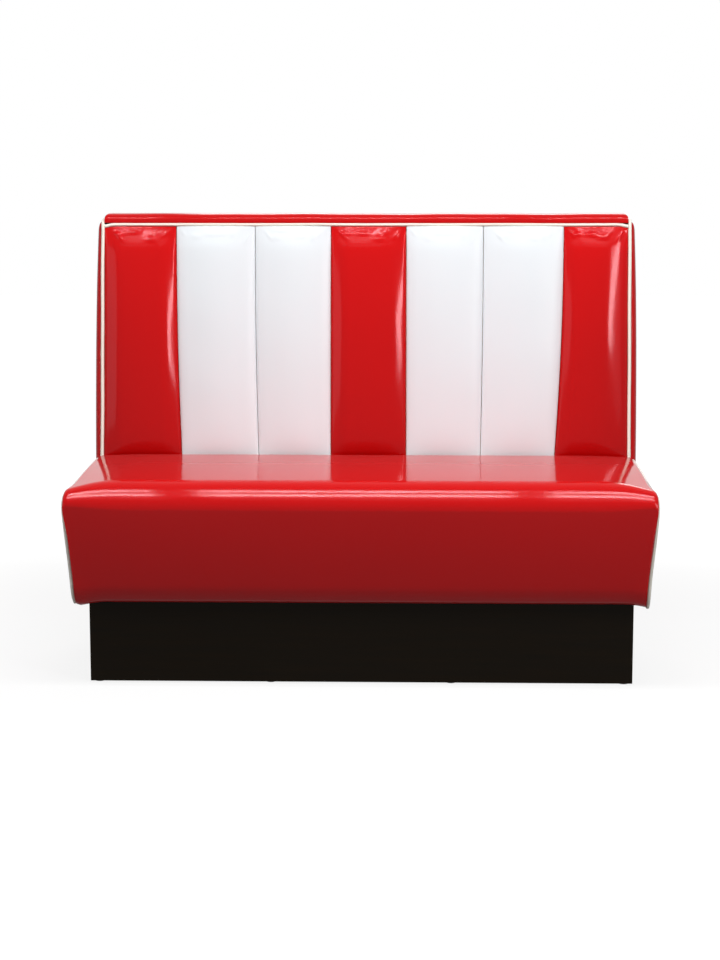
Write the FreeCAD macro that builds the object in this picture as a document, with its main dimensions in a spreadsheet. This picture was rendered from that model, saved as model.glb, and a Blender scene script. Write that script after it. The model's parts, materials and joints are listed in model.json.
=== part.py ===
import FreeCAD, Part
import math
import os
import Sketcher

# Single-sided restaurant booth bench with a fluted back, on a laminated plinth.
# X runs across the bench, Y from its front to its rear, Z up from the floor.
# Shapes are drawn with Y counted from the foremost point of the seat, and every
# piece is then placed so that the origin lies under the middle of the bench.

doc = FreeCAD.newDocument("BoothBench")


# Driving sizes

SIZES = (
    # Overall sizes
    ("overall_width", 1250),
    ("overall_depth", 630),
    ("overall_height", 1005),
    ("seat_height", 457),
    ("seat_depth", 475),
    ("underside_height", 190),
    # Upholstery
    ("cover_thickness", 2),
    ("soft_clearance", 0.3),
    ("piping_diameter", 8),
    ("nose_radius", 58),
    ("end_nose_radius", 34),
    ("seat_rear_radius", 7),
    ("seat_crown", 3),
    ("seat_end_drop", 8),
    ("seat_end_drop_length", 110),
    ("seat_edge_radius", 9),
    ("seat_back_gap", 19),
    ("front_lean", 31),
    ("front_crown", 3),
    ("front_pad", 26),
    ("cover_return", 26),
    ("end_lean_angle", 1.65),
    ("back_bulge", 10),
    ("panel_edge", 8),
    ("panel_corner_radius", 14),
    ("seat_puff_reach", 16),
    ("back_puff_reach", 20),
    # Fluted back
    ("rake_angle", 8),
    ("channel_base", 12),
    ("channel_crown", 18),
    ("channel_seam", 0.6),
    ("back_foam_thickness", 20),
    ("back_board", 9),
    ("rear_board", 6),
    ("roll_height", 22),
    ("roll_front_radius", 15),
    ("roll_rear_radius", 13),
    ("roll_end_radius", 9),
    ("roll_crown", 1.5),
    ("panel_below_top", 12),
    ("channel_tuck", 32),
    ("ledge_drop", 6),
    # Plywood frame
    ("ply", 18),
    ("deck_thickness", 12),
    ("bottom_board", 9),
    ("rabbet_share", 0.5),
    ("seat_foam_thickness", 108),
    ("seat_rib_spacing", 400),
    ("stud_spacing", 400),
    ("rear_rail_height", 60),
    ("corner_block", 30),
    ("vent_radius", 15),
    ("vent_spacing", 400),
    ("vent_count", 3),
    # Plinth
    ("plinth_front_inset", 104),
    ("plinth_rear_inset", 25),
    ("plinth_end_inset", 36.5),
    ("plinth_rib_spacing", 392),
    ("plinth_block", 45),
    ("plinth_block_height", 60),
    ("glide_radius", 12.5),
    ("glide_height", 3),
    ("glide_top_radius", 11),
    # Fasteners
    ("bolt_radius", 4),
    ("bolt_play", 0.5),
    ("bolt_head_radius", 7),
    ("bolt_head_height", 5),
    ("washer_radius", 10),
    ("washer_thickness", 1.6),
    ("tee_nut_radius", 11),
    ("tee_nut_flange", 1.5),
    ("tee_nut_wall", 1),
    ("tee_nut_play", 0.2),
    ("bolt_end", 3),
    ("back_bolt_spacing", 300),
    ("back_bolt_count", 4),
    ("back_bolt_rise", 60),
)

# Seams of the back, as shares of the fluted width, at the seat and at the top
SEAM_BOTTOM_SHARES = (0, 0.148, 0.295, 0.432, 0.576, 0.717, 0.857, 1)
SEAM_TOP_SHARES = (0, 0.135, 0.286, 0.431, 0.575, 0.722, 0.875, 1)

# Height up a flute and fullness of its crown there
CROWN_SHARES = (
    (0, 0.72),
    (0.12, 0.92),
    (0.35, 1),
    (0.7, 1),
    (0.86, 0.9),
    (0.94, 0.7),
    (0.98, 0.45),
    (1, 0.16),
)

# Flats across the crown of a flute
CROWN_CHORDS = 10

# Flats in each edge of the seat's profile, rear lip to foot, where the cover hides it: the small rounds only
HIDDEN_CHORDS = (None, 3, None, 3, None)

# Distance in from an end and drop there, of a rounded end
ROUND_SHARES = ((0, 1), (0.12, 0.55), (0.4, 0.2), (1, 0))

# Distance in along the drooping end of the seat
DROOP_SHARES = (0.25, 0.55, 1)

# Way out to the crest of a padded end panel, and inset of its outline there
PUFF_SHARES = ((0, 0), (0.4, 0.04), (0.75, 0.16), (0.94, 0.42), (1, 1))


def fill_sheet(name, rows):
    sheet = doc.addObject("Spreadsheet::Sheet", name)
    for row, (alias, content) in enumerate(rows, start=1):
        sheet.set(f"A{row}", alias)
        sheet.set(f"B{row}", str(content))
        sheet.setAlias(f"B{row}", alias)
    doc.recompute()
    return sheet


sizes = fill_sheet("Sizes", SIZES)

# Places worked out from the driving sizes
PLACES = (
    ("half_width", "=Sizes.overall_width / 2"),
    ("piping_radius", "=Sizes.piping_diameter / 2"),
    # Frame widths
    ("frame_half", "=half_width - Sizes.back_bulge - Sizes.panel_edge"),
    ("soft_half", "=frame_half - Sizes.soft_clearance"),
    ("inner_half", "=frame_half - Sizes.ply"),
    ("rabbet", "=Sizes.ply * Sizes.rabbet_share"),
    ("rail_half", "=inner_half + rabbet"),
    # Heights
    ("board_underside", "=Sizes.underside_height + Sizes.cover_thickness"),
    ("frame_bottom", "=board_underside + Sizes.bottom_board"),
    ("deck_top", "=Sizes.seat_height - Sizes.cover_thickness - Sizes.seat_foam_thickness"),
    ("deck_bottom", "=deck_top - Sizes.deck_thickness"),
    ("seat_end_height", "=Sizes.seat_height - Sizes.seat_crown - Sizes.seat_end_drop"),
    ("seat_edge_height", "=seat_end_height - Sizes.seat_edge_radius"),
    ("lip_height", "=seat_edge_height - Sizes.piping_diameter"),
    ("step_height", "=Sizes.seat_height - Sizes.channel_tuck"),
    ("ledge_height", "=step_height - Sizes.ledge_drop"),
    ("frame_top", "=Sizes.overall_height - Sizes.roll_height"),
    ("panel_top", "=Sizes.overall_height - Sizes.panel_below_top"),
    # Depths
    ("seat_rear", "=Sizes.seat_depth - Sizes.seat_back_gap"),
    ("joint_plane", "=Sizes.seat_depth - Sizes.channel_tuck * tan(Sizes.rake_angle)"),
    ("frame_rear", "=Sizes.overall_depth - Sizes.rear_board"),
    ("seat_rear_clear", "=joint_plane - Sizes.soft_clearance"),
    ("lean_share", "=Sizes.front_lean / (seat_end_height - Sizes.end_nose_radius - Sizes.underside_height)"),
    # Horizontal depth of the layers of the raked back, behind its seam line
    ("foam_front", "=Sizes.channel_base / cos(Sizes.rake_angle)"),
    ("foam_rear", "=(Sizes.channel_base + Sizes.back_foam_thickness) / cos(Sizes.rake_angle)"),
    ("board_rear", "=foam_rear + Sizes.back_board / cos(Sizes.rake_angle)"),
    # Plinth
    ("plinth_half", "=half_width - Sizes.plinth_end_inset"),
    ("plinth_inner_half", "=plinth_half - Sizes.ply"),
    ("plinth_front", "=Sizes.plinth_front_inset"),
    ("plinth_rear", "=Sizes.overall_depth - Sizes.plinth_rear_inset"),
    ("plinth_inside_front", "=plinth_front + Sizes.ply"),
    ("plinth_inside_rear", "=plinth_rear - Sizes.ply"),
    # Fasteners
    ("back_bolt_height", "=frame_bottom + Sizes.back_bolt_rise"),
    ("bolt_hole_radius", "=Sizes.bolt_radius + Sizes.bolt_play"),
    ("tee_nut_barrel", "=bolt_hole_radius + Sizes.tee_nut_wall"),
    ("tee_nut_hole", "=tee_nut_barrel + Sizes.tee_nut_play"),
)

places = fill_sheet("Places", PLACES)

sub_parts = []


# Shared makers

def keep(piece, label):
    """Label a finished sub-part and place it about the middle of the bench."""
    piece.Label = label
    piece.setExpression("Placement.Base.y", "-Sizes.overall_depth / 2")
    sub_parts.append(piece)
    return piece


def keep_shape(label, shape, lean=0, pivot=None):
    """Keep a soft or bent sub-part drawn in space, leaning about a pivot where asked."""
    piece = doc.addObject("Part::Feature", label)
    piece.Label = label
    piece.Shape = shape
    shift = FreeCAD.Vector(0, -sizes.overall_depth / 2, 0)
    base = pivot if pivot else FreeCAD.Vector()
    turn = FreeCAD.Rotation(FreeCAD.Vector(0, 1, 0), lean)
    piece.Placement = FreeCAD.Placement(base + shift, turn)
    sub_parts.append(piece)
    return piece


def origin_plane(body, role):
    return next(plane for plane in body.Origin.OriginFeatures if plane.Role == role)


def new_sketch(body, name, role, offset):
    """A sketch on one of its body's own planes, moved along the plane's normal."""
    sketch = body.newObject("Sketcher::SketchObject", name)
    sketch.AttachmentSupport = [(origin_plane(body, role), "")]
    sketch.MapMode = "FlatFace"
    sketch.setExpression("AttachmentOffset.Base.z", offset)
    return sketch


def pin_point(sketch, edge, end, across, up):
    """Fix a point of the sketch by two expressions, from the sketch's origin."""
    for kind, expression in (("DistanceX", across), ("DistanceY", up)):
        number = sketch.addConstraint(Sketcher.Constraint(kind, -1, 1, edge, end, 1.0))
        sketch.setExpression(f"Constraints[{number}]", expression)


def draw_outline(sketch, corners):
    """A closed outline of straight sides through corners given as expressions."""
    count = len(corners)
    spots = [(index, (index * index) % (count + 2)) for index in range(count)]
    for index in range(count):
        start = FreeCAD.Vector(*spots[index], 0)
        stop = FreeCAD.Vector(*spots[(index + 1) % count], 0)
        sketch.addGeometry(Part.LineSegment(start, stop), False)
    for index in range(count):
        sketch.addConstraint(Sketcher.Constraint("Coincident", index, 2, (index + 1) % count, 1))
    for index, (across, up) in enumerate(corners):
        pin_point(sketch, index, 1, across, up)


def draw_circles(sketch, centres, radius):
    for index, (across, up) in enumerate(centres):
        circle = Part.Circle(FreeCAD.Vector(index, 0, 0), FreeCAD.Vector(0, 0, 1), 1)
        sketch.addGeometry(circle, False)
        pin_point(sketch, index, 3, across, up)
        number = sketch.addConstraint(Sketcher.Constraint("Radius", index, 1.0))
        sketch.setExpression(f"Constraints[{number}]", radius)


def add_pad(body, name, role, offset, corners, thickness):
    sketch = new_sketch(body, f"{name}_outline", role, offset)
    draw_outline(sketch, corners)
    pad = body.newObject("PartDesign::Pad", f"{name}_pad")
    pad.Profile = sketch
    pad.setExpression("Length", thickness)
    return pad


def add_holes(body, name, role, offset, centres, radius, depth):
    """Round holes cut to both sides of the sketch's plane."""
    sketch = new_sketch(body, f"{name}_circles", role, offset)
    draw_circles(sketch, centres, radius)
    doc.recompute()
    solid_volume = body.Shape.Volume
    pocket = body.newObject("PartDesign::Pocket", f"{name}_pocket")
    pocket.Profile = sketch
    pocket.Midplane = True
    pocket.setExpression("Length", depth)
    doc.recompute()
    if body.Shape.Volume >= solid_volume:
        raise RuntimeError(f"{name} holes cut nothing")
    return pocket


def upright_board(label, centre, thickness, corners):
    """A board standing front to back: outline in Y and Z, thickness across X."""
    body = doc.addObject("PartDesign::Body", label)
    add_pad(body, label, "YZ_Plane", f"{centre} - {thickness} / 2", corners, thickness)
    return keep(body, label)


def rail(label, half_length, corners):
    """A rail along X: section in Y and Z, and the same length to both sides."""
    body = doc.addObject("PartDesign::Body", label)
    add_pad(body, label, "YZ_Plane", f"-{half_length}", corners, f"2 * {half_length}")
    return keep(body, label)


def rectangle(low_y, low_z, high_y, high_z):
    return ((low_y, low_z), (high_y, low_z), (high_y, high_z), (low_y, high_z))


def row_places(spacing, count):
    """Expressions of evenly spaced places across X, about the middle."""
    steps = [index - (count - 1) / 2 for index in range(count)]
    return [f"{spacing} * {step}" for step in steps]


def grouped(label, pieces):
    """Several alike solids kept as one sub-part."""
    group = doc.addObject("Part::Compound", label)
    group.Links = pieces
    return keep(group, label)


def cylinder(label, radius, height, axis, where):
    """A cylinder along Y or Z whose foot is at a place given as expressions."""
    piece = doc.addObject("Part::Cylinder", label)
    piece.setExpression("Radius", radius)
    piece.setExpression("Height", height)
    return set_upon(piece, axis, where)


def prism(label, flats, radius, height, axis, where):
    """A prism along Y or Z with a number of flats, its radius measured to its corners."""
    piece = doc.addObject("Part::Prism", label)
    piece.Polygon = flats
    piece.setExpression("Circumradius", radius)
    piece.setExpression("Height", height)
    return set_upon(piece, axis, where)


def hexagon(label, axis, where):
    """The head of a bolt."""
    return prism(label, 6, "Sizes.bolt_head_radius", "Sizes.bolt_head_height", axis, where)


# Flats round a washer or a tee nut
FASTENER_FLATS = 14


def set_upon(piece, axis, where):
    if axis == "y":
        piece.Placement.Rotation = FreeCAD.Rotation(FreeCAD.Vector(1, 0, 0), -90)
    for name, expression in zip("xyz", where):
        piece.setExpression(f"Placement.Base.{name}", expression)
    return piece


# Plinth

def make_plinth_long_board(label, outer_y, inner_y, outer_is_low):
    """Front or rear board of the plinth, rabbeted at both ends for the end boards."""
    body = doc.addObject("PartDesign::Body", label)
    low = "Sizes.glide_height"
    high = "Sizes.underside_height"
    depth = "Places.rabbet"
    outer_low = outer_y if outer_is_low else f"{outer_y} - {depth}"
    inner_low = f"{outer_y} + {depth}" if outer_is_low else inner_y
    for part, low_y, half in (("face", outer_low, "plinth_half"), ("core", inner_low, "plinth_inner_half")):
        corners = rectangle(low_y, low, f"{low_y} + {depth}", high)
        half_length = f"Places.{half}"
        add_pad(body, f"{label}_{part}", "YZ_Plane", f"-{half_length}", corners, f"2 * {half_length}")
    return keep(body, label)


def make_plinth():
    make_plinth_long_board("plinth_front_board", "Places.plinth_front", "Places.plinth_inside_front", True)
    make_plinth_long_board("plinth_rear_board", "Places.plinth_rear", "Places.plinth_inside_rear", False)
    low = "Sizes.glide_height"
    high = "Sizes.underside_height"
    for label, sign in (("plinth_left_board", "-"), ("plinth_right_board", "")):
        corners = rectangle("Places.plinth_front + Places.rabbet", low,
                            "Places.plinth_rear - Places.rabbet", high)
        upright_board(label, f"{sign}(Places.plinth_half - Sizes.ply / 2)", "Sizes.ply", corners)
    for label, sign in (("plinth_left_rib", "-"), ("plinth_right_rib", "")):
        corners = rectangle("Places.plinth_inside_front", low, "Places.plinth_inside_rear", high)
        upright_board(label, f"{sign}Sizes.plinth_rib_spacing / 2", "Sizes.ply", corners)


def plinth_block_centres():
    """Middles of the four corner blocks, as expressions."""
    across = "(Places.plinth_inner_half - Sizes.plinth_block / 2)"
    depths = (
        "Places.plinth_inside_front + Sizes.plinth_block / 2",
        "Places.plinth_inside_rear - Sizes.plinth_block / 2",
    )
    return [(f"{sign}{across}", depth) for sign in ("-", "") for depth in depths]


def make_plinth_blocks():
    blocks = []
    for number, (across, depth) in enumerate(plinth_block_centres(), start=1):
        block = doc.addObject("Part::Box", f"plinth_block_{number}")
        block.setExpression("Length", "Sizes.plinth_block")
        block.setExpression("Width", "Sizes.plinth_block")
        block.setExpression("Height", "Sizes.plinth_block_height")
        block.setExpression("Placement.Base.x", f"{across} - Sizes.plinth_block / 2")
        block.setExpression("Placement.Base.y", f"{depth} - Sizes.plinth_block / 2")
        block.setExpression("Placement.Base.z", "Sizes.underside_height - Sizes.plinth_block_height")
        foot = "Sizes.underside_height - 2 * Sizes.plinth_block_height"
        drill = cylinder(f"plinth_block_drill_{number}", "Places.bolt_hole_radius",
                         "3 * Sizes.plinth_block_height", "z", (across, depth, foot))
        bored = doc.addObject("Part::Cut", f"plinth_bored_block_{number}")
        bored.Base = block
        bored.Tool = drill
        blocks.append(bored)
    grouped("plinth_corner_blocks", blocks)


def make_glides():
    """Nail-on glides under the corners of the plinth and under its ribs."""
    across = ("-(Places.plinth_half - Sizes.ply)", "-Sizes.plinth_rib_spacing / 2",
              "Sizes.plinth_rib_spacing / 2", "Places.plinth_half - Sizes.ply")
    depths = ("Places.plinth_front + Sizes.ply", "Places.plinth_rear - Sizes.ply")
    glides = []
    for x_place in across:
        for y_place in depths:
            glide = doc.addObject("Part::Cone", f"glide_{len(glides) + 1}")
            glide.setExpression("Radius1", "Sizes.glide_top_radius")
            glide.setExpression("Radius2", "Sizes.glide_radius")
            glide.setExpression("Height", "Sizes.glide_height")
            glide.setExpression("Placement.Base.x", x_place)
            glide.setExpression("Placement.Base.y", y_place)
            glides.append(glide)
    grouped("floor_glides", glides)


# Seat frame

def front_face(height):
    """Expression of how far back the seat's leaning front face is at a height."""
    return f"Places.lean_share * (Places.seat_end_height - Sizes.end_nose_radius - ({height}))"


def rail_face(height):
    """The front of the frame, behind the cover and the front pad."""
    return f"{front_face(height)} + Sizes.cover_thickness + Sizes.front_pad"


def back_bolt_centres():
    """Where the bolts between seat and back stand, across and up."""
    row = row_places("Sizes.back_bolt_spacing", int(sizes.back_bolt_count))
    return [(across, "Places.back_bolt_height") for across in row]


def make_seat_frame():
    low = "Places.frame_bottom"
    high = "Places.deck_bottom"
    make_seat_sides(low, high)
    slope = ((rail_face(low), low), (f"{rail_face(low)} + Sizes.ply", low),
             (f"{rail_face(high)} + Sizes.ply", high), (rail_face(high), high))
    rail("seat_front_rail", "Places.rail_half", slope)
    rear = rail("seat_rear_rail", "Places.rail_half",
                rectangle("Places.joint_plane - Sizes.ply", low, "Places.joint_plane", high))
    add_holes(rear, "seat_rear_rail", "XZ_Plane", "-Places.joint_plane", back_bolt_centres(),
              "Places.bolt_hole_radius", "3 * Sizes.ply")
    for label, sign in (("seat_left_rib", "-"), ("seat_right_rib", "")):
        corners = ((f"{rail_face(low)} + Sizes.ply", low), ("Places.joint_plane - Sizes.ply", low),
                   ("Places.joint_plane - Sizes.ply", high), (f"{rail_face(high)} + Sizes.ply", high))
        upright_board(label, f"{sign}Sizes.seat_rib_spacing / 2", "Sizes.ply", corners)
    make_seat_deck()
    make_bottom_board()


def make_seat_sides(low, high):
    """End boards of the seat box, rabbeted to take the ends of both rails."""
    for label, sign in (("seat_left_side", "-"), ("seat_right_side", "")):
        body = doc.addObject("PartDesign::Body", label)
        face = ((rail_face(low), low), ("Places.joint_plane", low),
                ("Places.joint_plane", high), (rail_face(high), high))
        core = ((f"{rail_face(low)} + Sizes.ply", low), ("Places.joint_plane - Sizes.ply", low),
                ("Places.joint_plane - Sizes.ply", high), (f"{rail_face(high)} + Sizes.ply", high))
        face_start = "-Places.frame_half" if sign else "Places.rail_half"
        core_start = "-Places.rail_half" if sign else "Places.inner_half"
        add_pad(body, f"{label}_face", "YZ_Plane", face_start, face, "Places.frame_half - Places.rail_half")
        add_pad(body, f"{label}_core", "YZ_Plane", core_start, core, "Places.rabbet")
        keep(body, label)


def make_seat_deck():
    """Plywood deck under the foam, with holes that let the air out."""
    low = "Places.deck_bottom"
    high = "Places.deck_top"
    slope = ((rail_face(low), low), ("Places.joint_plane", low),
             ("Places.joint_plane", high), (rail_face(high), high))
    deck = rail("seat_deck", "Places.frame_half", slope)
    centres = [(place, "Sizes.seat_depth / 2")
               for place in row_places("Sizes.vent_spacing", int(sizes.vent_count))]
    add_holes(deck, "seat_deck", "XY_Plane", high, centres, "Sizes.vent_radius", "3 * Sizes.deck_thickness")


def make_bottom_board():
    """Board under the seat box and the back box, which both stand on it."""
    low = "Places.board_underside"
    high = "Places.frame_bottom"
    slope = ((rail_face(low), low), ("Places.frame_rear", low),
             ("Places.frame_rear", high), (rail_face(high), high))
    board = rail("bottom_board", "Places.frame_half", slope)
    add_holes(board, "bottom_board", "XY_Plane", high, plinth_block_centres(),
              "Places.tee_nut_hole", "3 * Sizes.bottom_board")
    cover_start = f"{front_face('Sizes.underside_height')} + Sizes.cover_return + Sizes.soft_clearance"
    sheet = rail("underside_cover", "Places.frame_half",
                 rectangle(cover_start, "Sizes.underside_height", "Places.frame_rear", low))
    add_holes(sheet, "underside_cover", "XY_Plane", low, plinth_block_centres(),
              "Places.bolt_hole_radius", "3 * Sizes.cover_thickness")


def make_seat_corner_blocks():
    """Glue blocks upright in the rear corners of the seat box and beside its ribs."""
    blocks = []
    across = ("-Places.inner_half", "-(Sizes.seat_rib_spacing - Sizes.ply) / 2",
              "(Sizes.seat_rib_spacing - Sizes.ply) / 2 - Sizes.corner_block",
              "Places.inner_half - Sizes.corner_block")
    for number, x_place in enumerate(across, start=1):
        block = doc.addObject("Part::Box", f"seat_block_{number}")
        block.setExpression("Length", "Sizes.corner_block")
        block.setExpression("Width", "Sizes.corner_block")
        block.setExpression("Height", "Places.deck_bottom - Places.frame_bottom")
        block.setExpression("Placement.Base.x", x_place)
        block.setExpression("Placement.Base.y", "Places.joint_plane - Sizes.ply - Sizes.corner_block")
        block.setExpression("Placement.Base.z", "Places.frame_bottom")
        blocks.append(block)
    grouped("seat_corner_blocks", blocks)


# Back frame

def raked(behind, height):
    """Expression of the depth of a line of the raked back, at a height."""
    return f"Sizes.seat_depth + {behind} + (({height}) - Sizes.seat_height) * tan(Sizes.rake_angle)"


def raked_layer(label, half_length, front, rear):
    """A board or sheet that leans with the back, from the ledge to the top."""
    low = "Places.ledge_height"
    high = "Places.frame_top"
    corners = ((raked(front, low), low), (raked(rear, low), low),
               (raked(rear, high), high), (raked(front, high), high))
    return rail(label, half_length, corners)


def make_back_frame():
    low = "Places.frame_bottom"
    ledge = "Places.ledge_height"
    high = "Places.frame_top"
    front = "Places.board_rear"
    for label, sign in (("back_left_side", "-"), ("back_right_side", "")):
        corners = (("Places.joint_plane", low), ("Places.frame_rear", low), ("Places.frame_rear", high),
                   (raked(front, high), high), (raked(front, ledge), ledge), ("Places.joint_plane", ledge))
        upright_board(label, f"{sign}(Places.frame_half - Sizes.ply / 2)", "Sizes.ply", corners)
    ledge_low = f"{ledge} - Sizes.ply"
    top_low = f"{high} - Sizes.ply"
    bottom = rail("back_bottom_rail", "Places.inner_half",
                  rectangle("Places.joint_plane", low, "Places.joint_plane + Sizes.ply", ledge_low))
    add_holes(bottom, "back_bottom_rail", "XZ_Plane", "-Places.joint_plane", back_bolt_centres(),
              "Places.tee_nut_hole", "3 * Sizes.ply")
    rail("back_ledge_rail", "Places.inner_half",
         rectangle("Places.joint_plane", ledge_low, "Places.frame_rear", ledge))
    rail("back_rear_rail", "Places.inner_half",
         rectangle("Places.frame_rear - Sizes.ply", low,
                   "Places.frame_rear", f"{low} + Sizes.rear_rail_height"))
    rail("back_top_rail", "Places.inner_half",
         ((raked(front, top_low), top_low), ("Places.frame_rear", top_low),
          ("Places.frame_rear", high), (raked(front, high), high)))
    for label, sign in (("back_left_stud", "-"), ("back_right_stud", "")):
        corners = ((raked(front, ledge), ledge), ("Places.frame_rear", ledge),
                   ("Places.frame_rear", top_low), (raked(front, top_low), top_low))
        upright_board(label, f"{sign}Sizes.stud_spacing / 2", "Sizes.ply", corners)
    raked_layer("back_front_board", "Places.frame_half", "Places.foam_rear", "Places.board_rear")
    raked_layer("back_foam", "Places.soft_half", "Places.foam_front", "Places.foam_rear")
    rail("back_rear_panel", "Places.frame_half",
         rectangle("Places.frame_rear", "Sizes.underside_height", "Sizes.overall_depth", high))


# Fasteners

def make_bolt_row():
    """Bolts that hold the back box to the seat box, with washers and tee nuts."""
    rail_front = "Places.joint_plane - Sizes.ply"
    rail_rear = "Places.joint_plane + Sizes.ply"
    head_front = f"{rail_front} - Sizes.washer_thickness - Sizes.bolt_head_height"
    washer_front = f"{rail_front} - Sizes.washer_thickness"
    shank = f"2 * Sizes.ply + Sizes.washer_thickness + Sizes.tee_nut_flange + Sizes.bolt_end"
    bolts, washers, nuts = [], [], []
    for number, (x_place, height) in enumerate(back_bolt_centres(), start=1):
        head = hexagon(f"back_bolt_head_{number}", "y", (x_place, head_front, height))
        stem = cylinder(f"back_bolt_stem_{number}", "Sizes.bolt_radius", shank,
                        "y", (x_place, washer_front, height))
        bolts.append(fused(f"back_bolt_{number}", head, stem))
        washers.append(ring(f"back_washer_{number}", "Sizes.washer_radius", "Places.bolt_hole_radius",
                            "Sizes.washer_thickness", "y", (x_place, washer_front, height)))
        nuts.append(tee_nut(f"back_tee_nut_{number}", "y", (x_place, rail_rear, height), "Sizes.ply"))
    grouped("back_bolts", bolts)
    grouped("back_bolt_washers", washers)
    grouped("back_tee_nuts", nuts)


def make_plinth_bolts():
    """Bolts up through the plinth's corner blocks into the bottom board."""
    block_foot = "Sizes.underside_height - Sizes.plinth_block_height"
    washer_foot = f"{block_foot} - Sizes.washer_thickness"
    head_foot = f"{washer_foot} - Sizes.bolt_head_height"
    shank = ("Sizes.washer_thickness + Sizes.plinth_block_height + Sizes.cover_thickness"
             " + Sizes.bottom_board + Sizes.tee_nut_flange + Sizes.bolt_end")
    bolts, washers, nuts = [], [], []
    for number, (across, depth) in enumerate(plinth_block_centres(), start=1):
        head = hexagon(f"plinth_bolt_head_{number}", "z", (across, depth, head_foot))
        stem = cylinder(f"plinth_bolt_stem_{number}", "Sizes.bolt_radius", shank,
                        "z", (across, depth, washer_foot))
        bolts.append(fused(f"plinth_bolt_{number}", head, stem))
        washers.append(ring(f"plinth_washer_{number}", "Sizes.washer_radius", "Places.bolt_hole_radius",
                            "Sizes.washer_thickness", "z", (across, depth, washer_foot)))
        nuts.append(tee_nut(f"plinth_tee_nut_{number}", "z", (across, depth, "Places.frame_bottom"),
                            "Sizes.bottom_board"))
    grouped("plinth_bolts", bolts)
    grouped("plinth_bolt_washers", washers)
    grouped("plinth_tee_nuts", nuts)


def fused(label, first, second):
    piece = doc.addObject("Part::Fuse", label)
    piece.Base = first
    piece.Tool = second
    return piece


def ring(label, outer, inner, height, axis, where):
    """A washer, drilled right through."""
    disc = prism(f"{label}_disc", FASTENER_FLATS, outer, height, axis, where)
    drill = prism(f"{label}_drill", FASTENER_FLATS, inner, height, axis, where)
    piece = doc.addObject("Part::Cut", label)
    piece.Base = disc
    piece.Tool = drill
    return piece


def tee_nut(label, axis, where, board):
    """A flange on the board's far face, with a barrel sunk into the board."""
    index = "xyz".index(axis)
    barrel_start = list(where)
    barrel_start[index] = f"{where[index]} - {board} / 2"
    flange = prism(f"{label}_flange", FASTENER_FLATS, "Sizes.tee_nut_radius",
                   "Sizes.tee_nut_flange", axis, where)
    barrel = prism(f"{label}_barrel", FASTENER_FLATS, "Places.tee_nut_barrel",
                   f"{board} / 2", axis, barrel_start)
    body = fused(f"{label}_body", flange, barrel)
    drill = prism(f"{label}_drill", FASTENER_FLATS, "Places.bolt_hole_radius",
                  f"{board} / 2 + Sizes.tee_nut_flange", axis, barrel_start)
    piece = doc.addObject("Part::Cut", label)
    piece.Base = body
    piece.Tool = drill
    return piece


# Drawing in space, for the upholstery

def line(start, stop):
    return Part.LineSegment(start, stop).toShape()


def arc(start, middle, stop):
    return Part.Arc(start, middle, stop).toShape()


def closed_wire(edges):
    return Part.Wire(edges)


def ruled_loft(wires):
    solid = Part.makeLoft(wires, True, True)
    if solid.Volume < 0:
        solid.reverse()
    return solid


def bowed(start, stop, rise):
    """The middle point of an arc that stands off its chord, to the left of its way."""
    across = stop[0] - start[0]
    up = stop[1] - start[1]
    length = math.hypot(across, up)
    return ((start[0] + stop[0]) / 2 - up / length * rise,
            (start[1] + stop[1]) / 2 + across / length * rise)


def quarter_rise(radius):
    """How far a quarter round stands off its chord."""
    return radius * (1 - math.cos(math.radians(45)))


# Seat upholstery

def end_x(height):
    """Middle of the seat's end piping at a height: the ends lean outwards."""
    outer = places.half_width - places.piping_radius
    top = places.seat_end_height
    return outer - (top - height) * math.tan(math.radians(sizes.end_lean_angle))


def seat_stations():
    """Place in from the cover's end, drop of the top, and nose radius there."""
    edge = sizes.overall_width / 2 - sizes.piping_diameter - places.soft_half
    stations = []
    for in_share, drop_share in ROUND_SHARES:
        drop = sizes.seat_end_drop + sizes.seat_edge_radius * drop_share
        stations.append((edge * in_share, drop, sizes.end_nose_radius))
    for share in DROOP_SHARES:
        drop = sizes.seat_end_drop * (1 - share) ** 2
        nose = sizes.end_nose_radius + (sizes.nose_radius - sizes.end_nose_radius) * (1 - (1 - share) ** 2)
        stations.append((edge + sizes.seat_end_drop_length * share, drop, nose))
    return edge, stations


def seat_chain(drop, nose, skin):
    """The seat's profile from rear lip to foot, as points, at a depth under its skin."""
    top = sizes.seat_height - sizes.seat_crown - drop
    rear = places.seat_rear - skin
    radius = sizes.seat_rear_radius
    foot = front_foot()
    points = [(rear, places.lip_height),
              (rear, top - radius),
              (rear + skin - radius, top - skin),
              (nose, top - skin),
              (skin, top - nose),
              (foot + skin, sizes.underside_height + skin)]
    rises = (None, -quarter_rise(radius - skin), -sizes.seat_crown, -quarter_rise(nose - skin),
             -sizes.front_crown)
    return points, rises


def front_foot():
    """How far back the seat's front face is at its foot."""
    fall = places.seat_end_height - sizes.end_nose_radius - sizes.underside_height
    return places.lean_share * fall


def chain_edges(points, rises, spot, flats=None):
    """Lines and arcs through points, each set in space by a function; some arcs may go in flats."""
    edges = []
    for start, stop, rise, count in zip(points, points[1:], rises, flats or [None] * len(rises)):
        if rise is None:
            edges.append(line(spot(*start), spot(*stop)))
            continue
        bend = arc(spot(*start), spot(*bowed(start, stop, rise)), spot(*stop))
        if count:
            spots = bend.discretize(count + 1)
            edges += [line(*pair) for pair in zip(spots, spots[1:])]
        else:
            edges.append(bend)
    return edges


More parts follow.
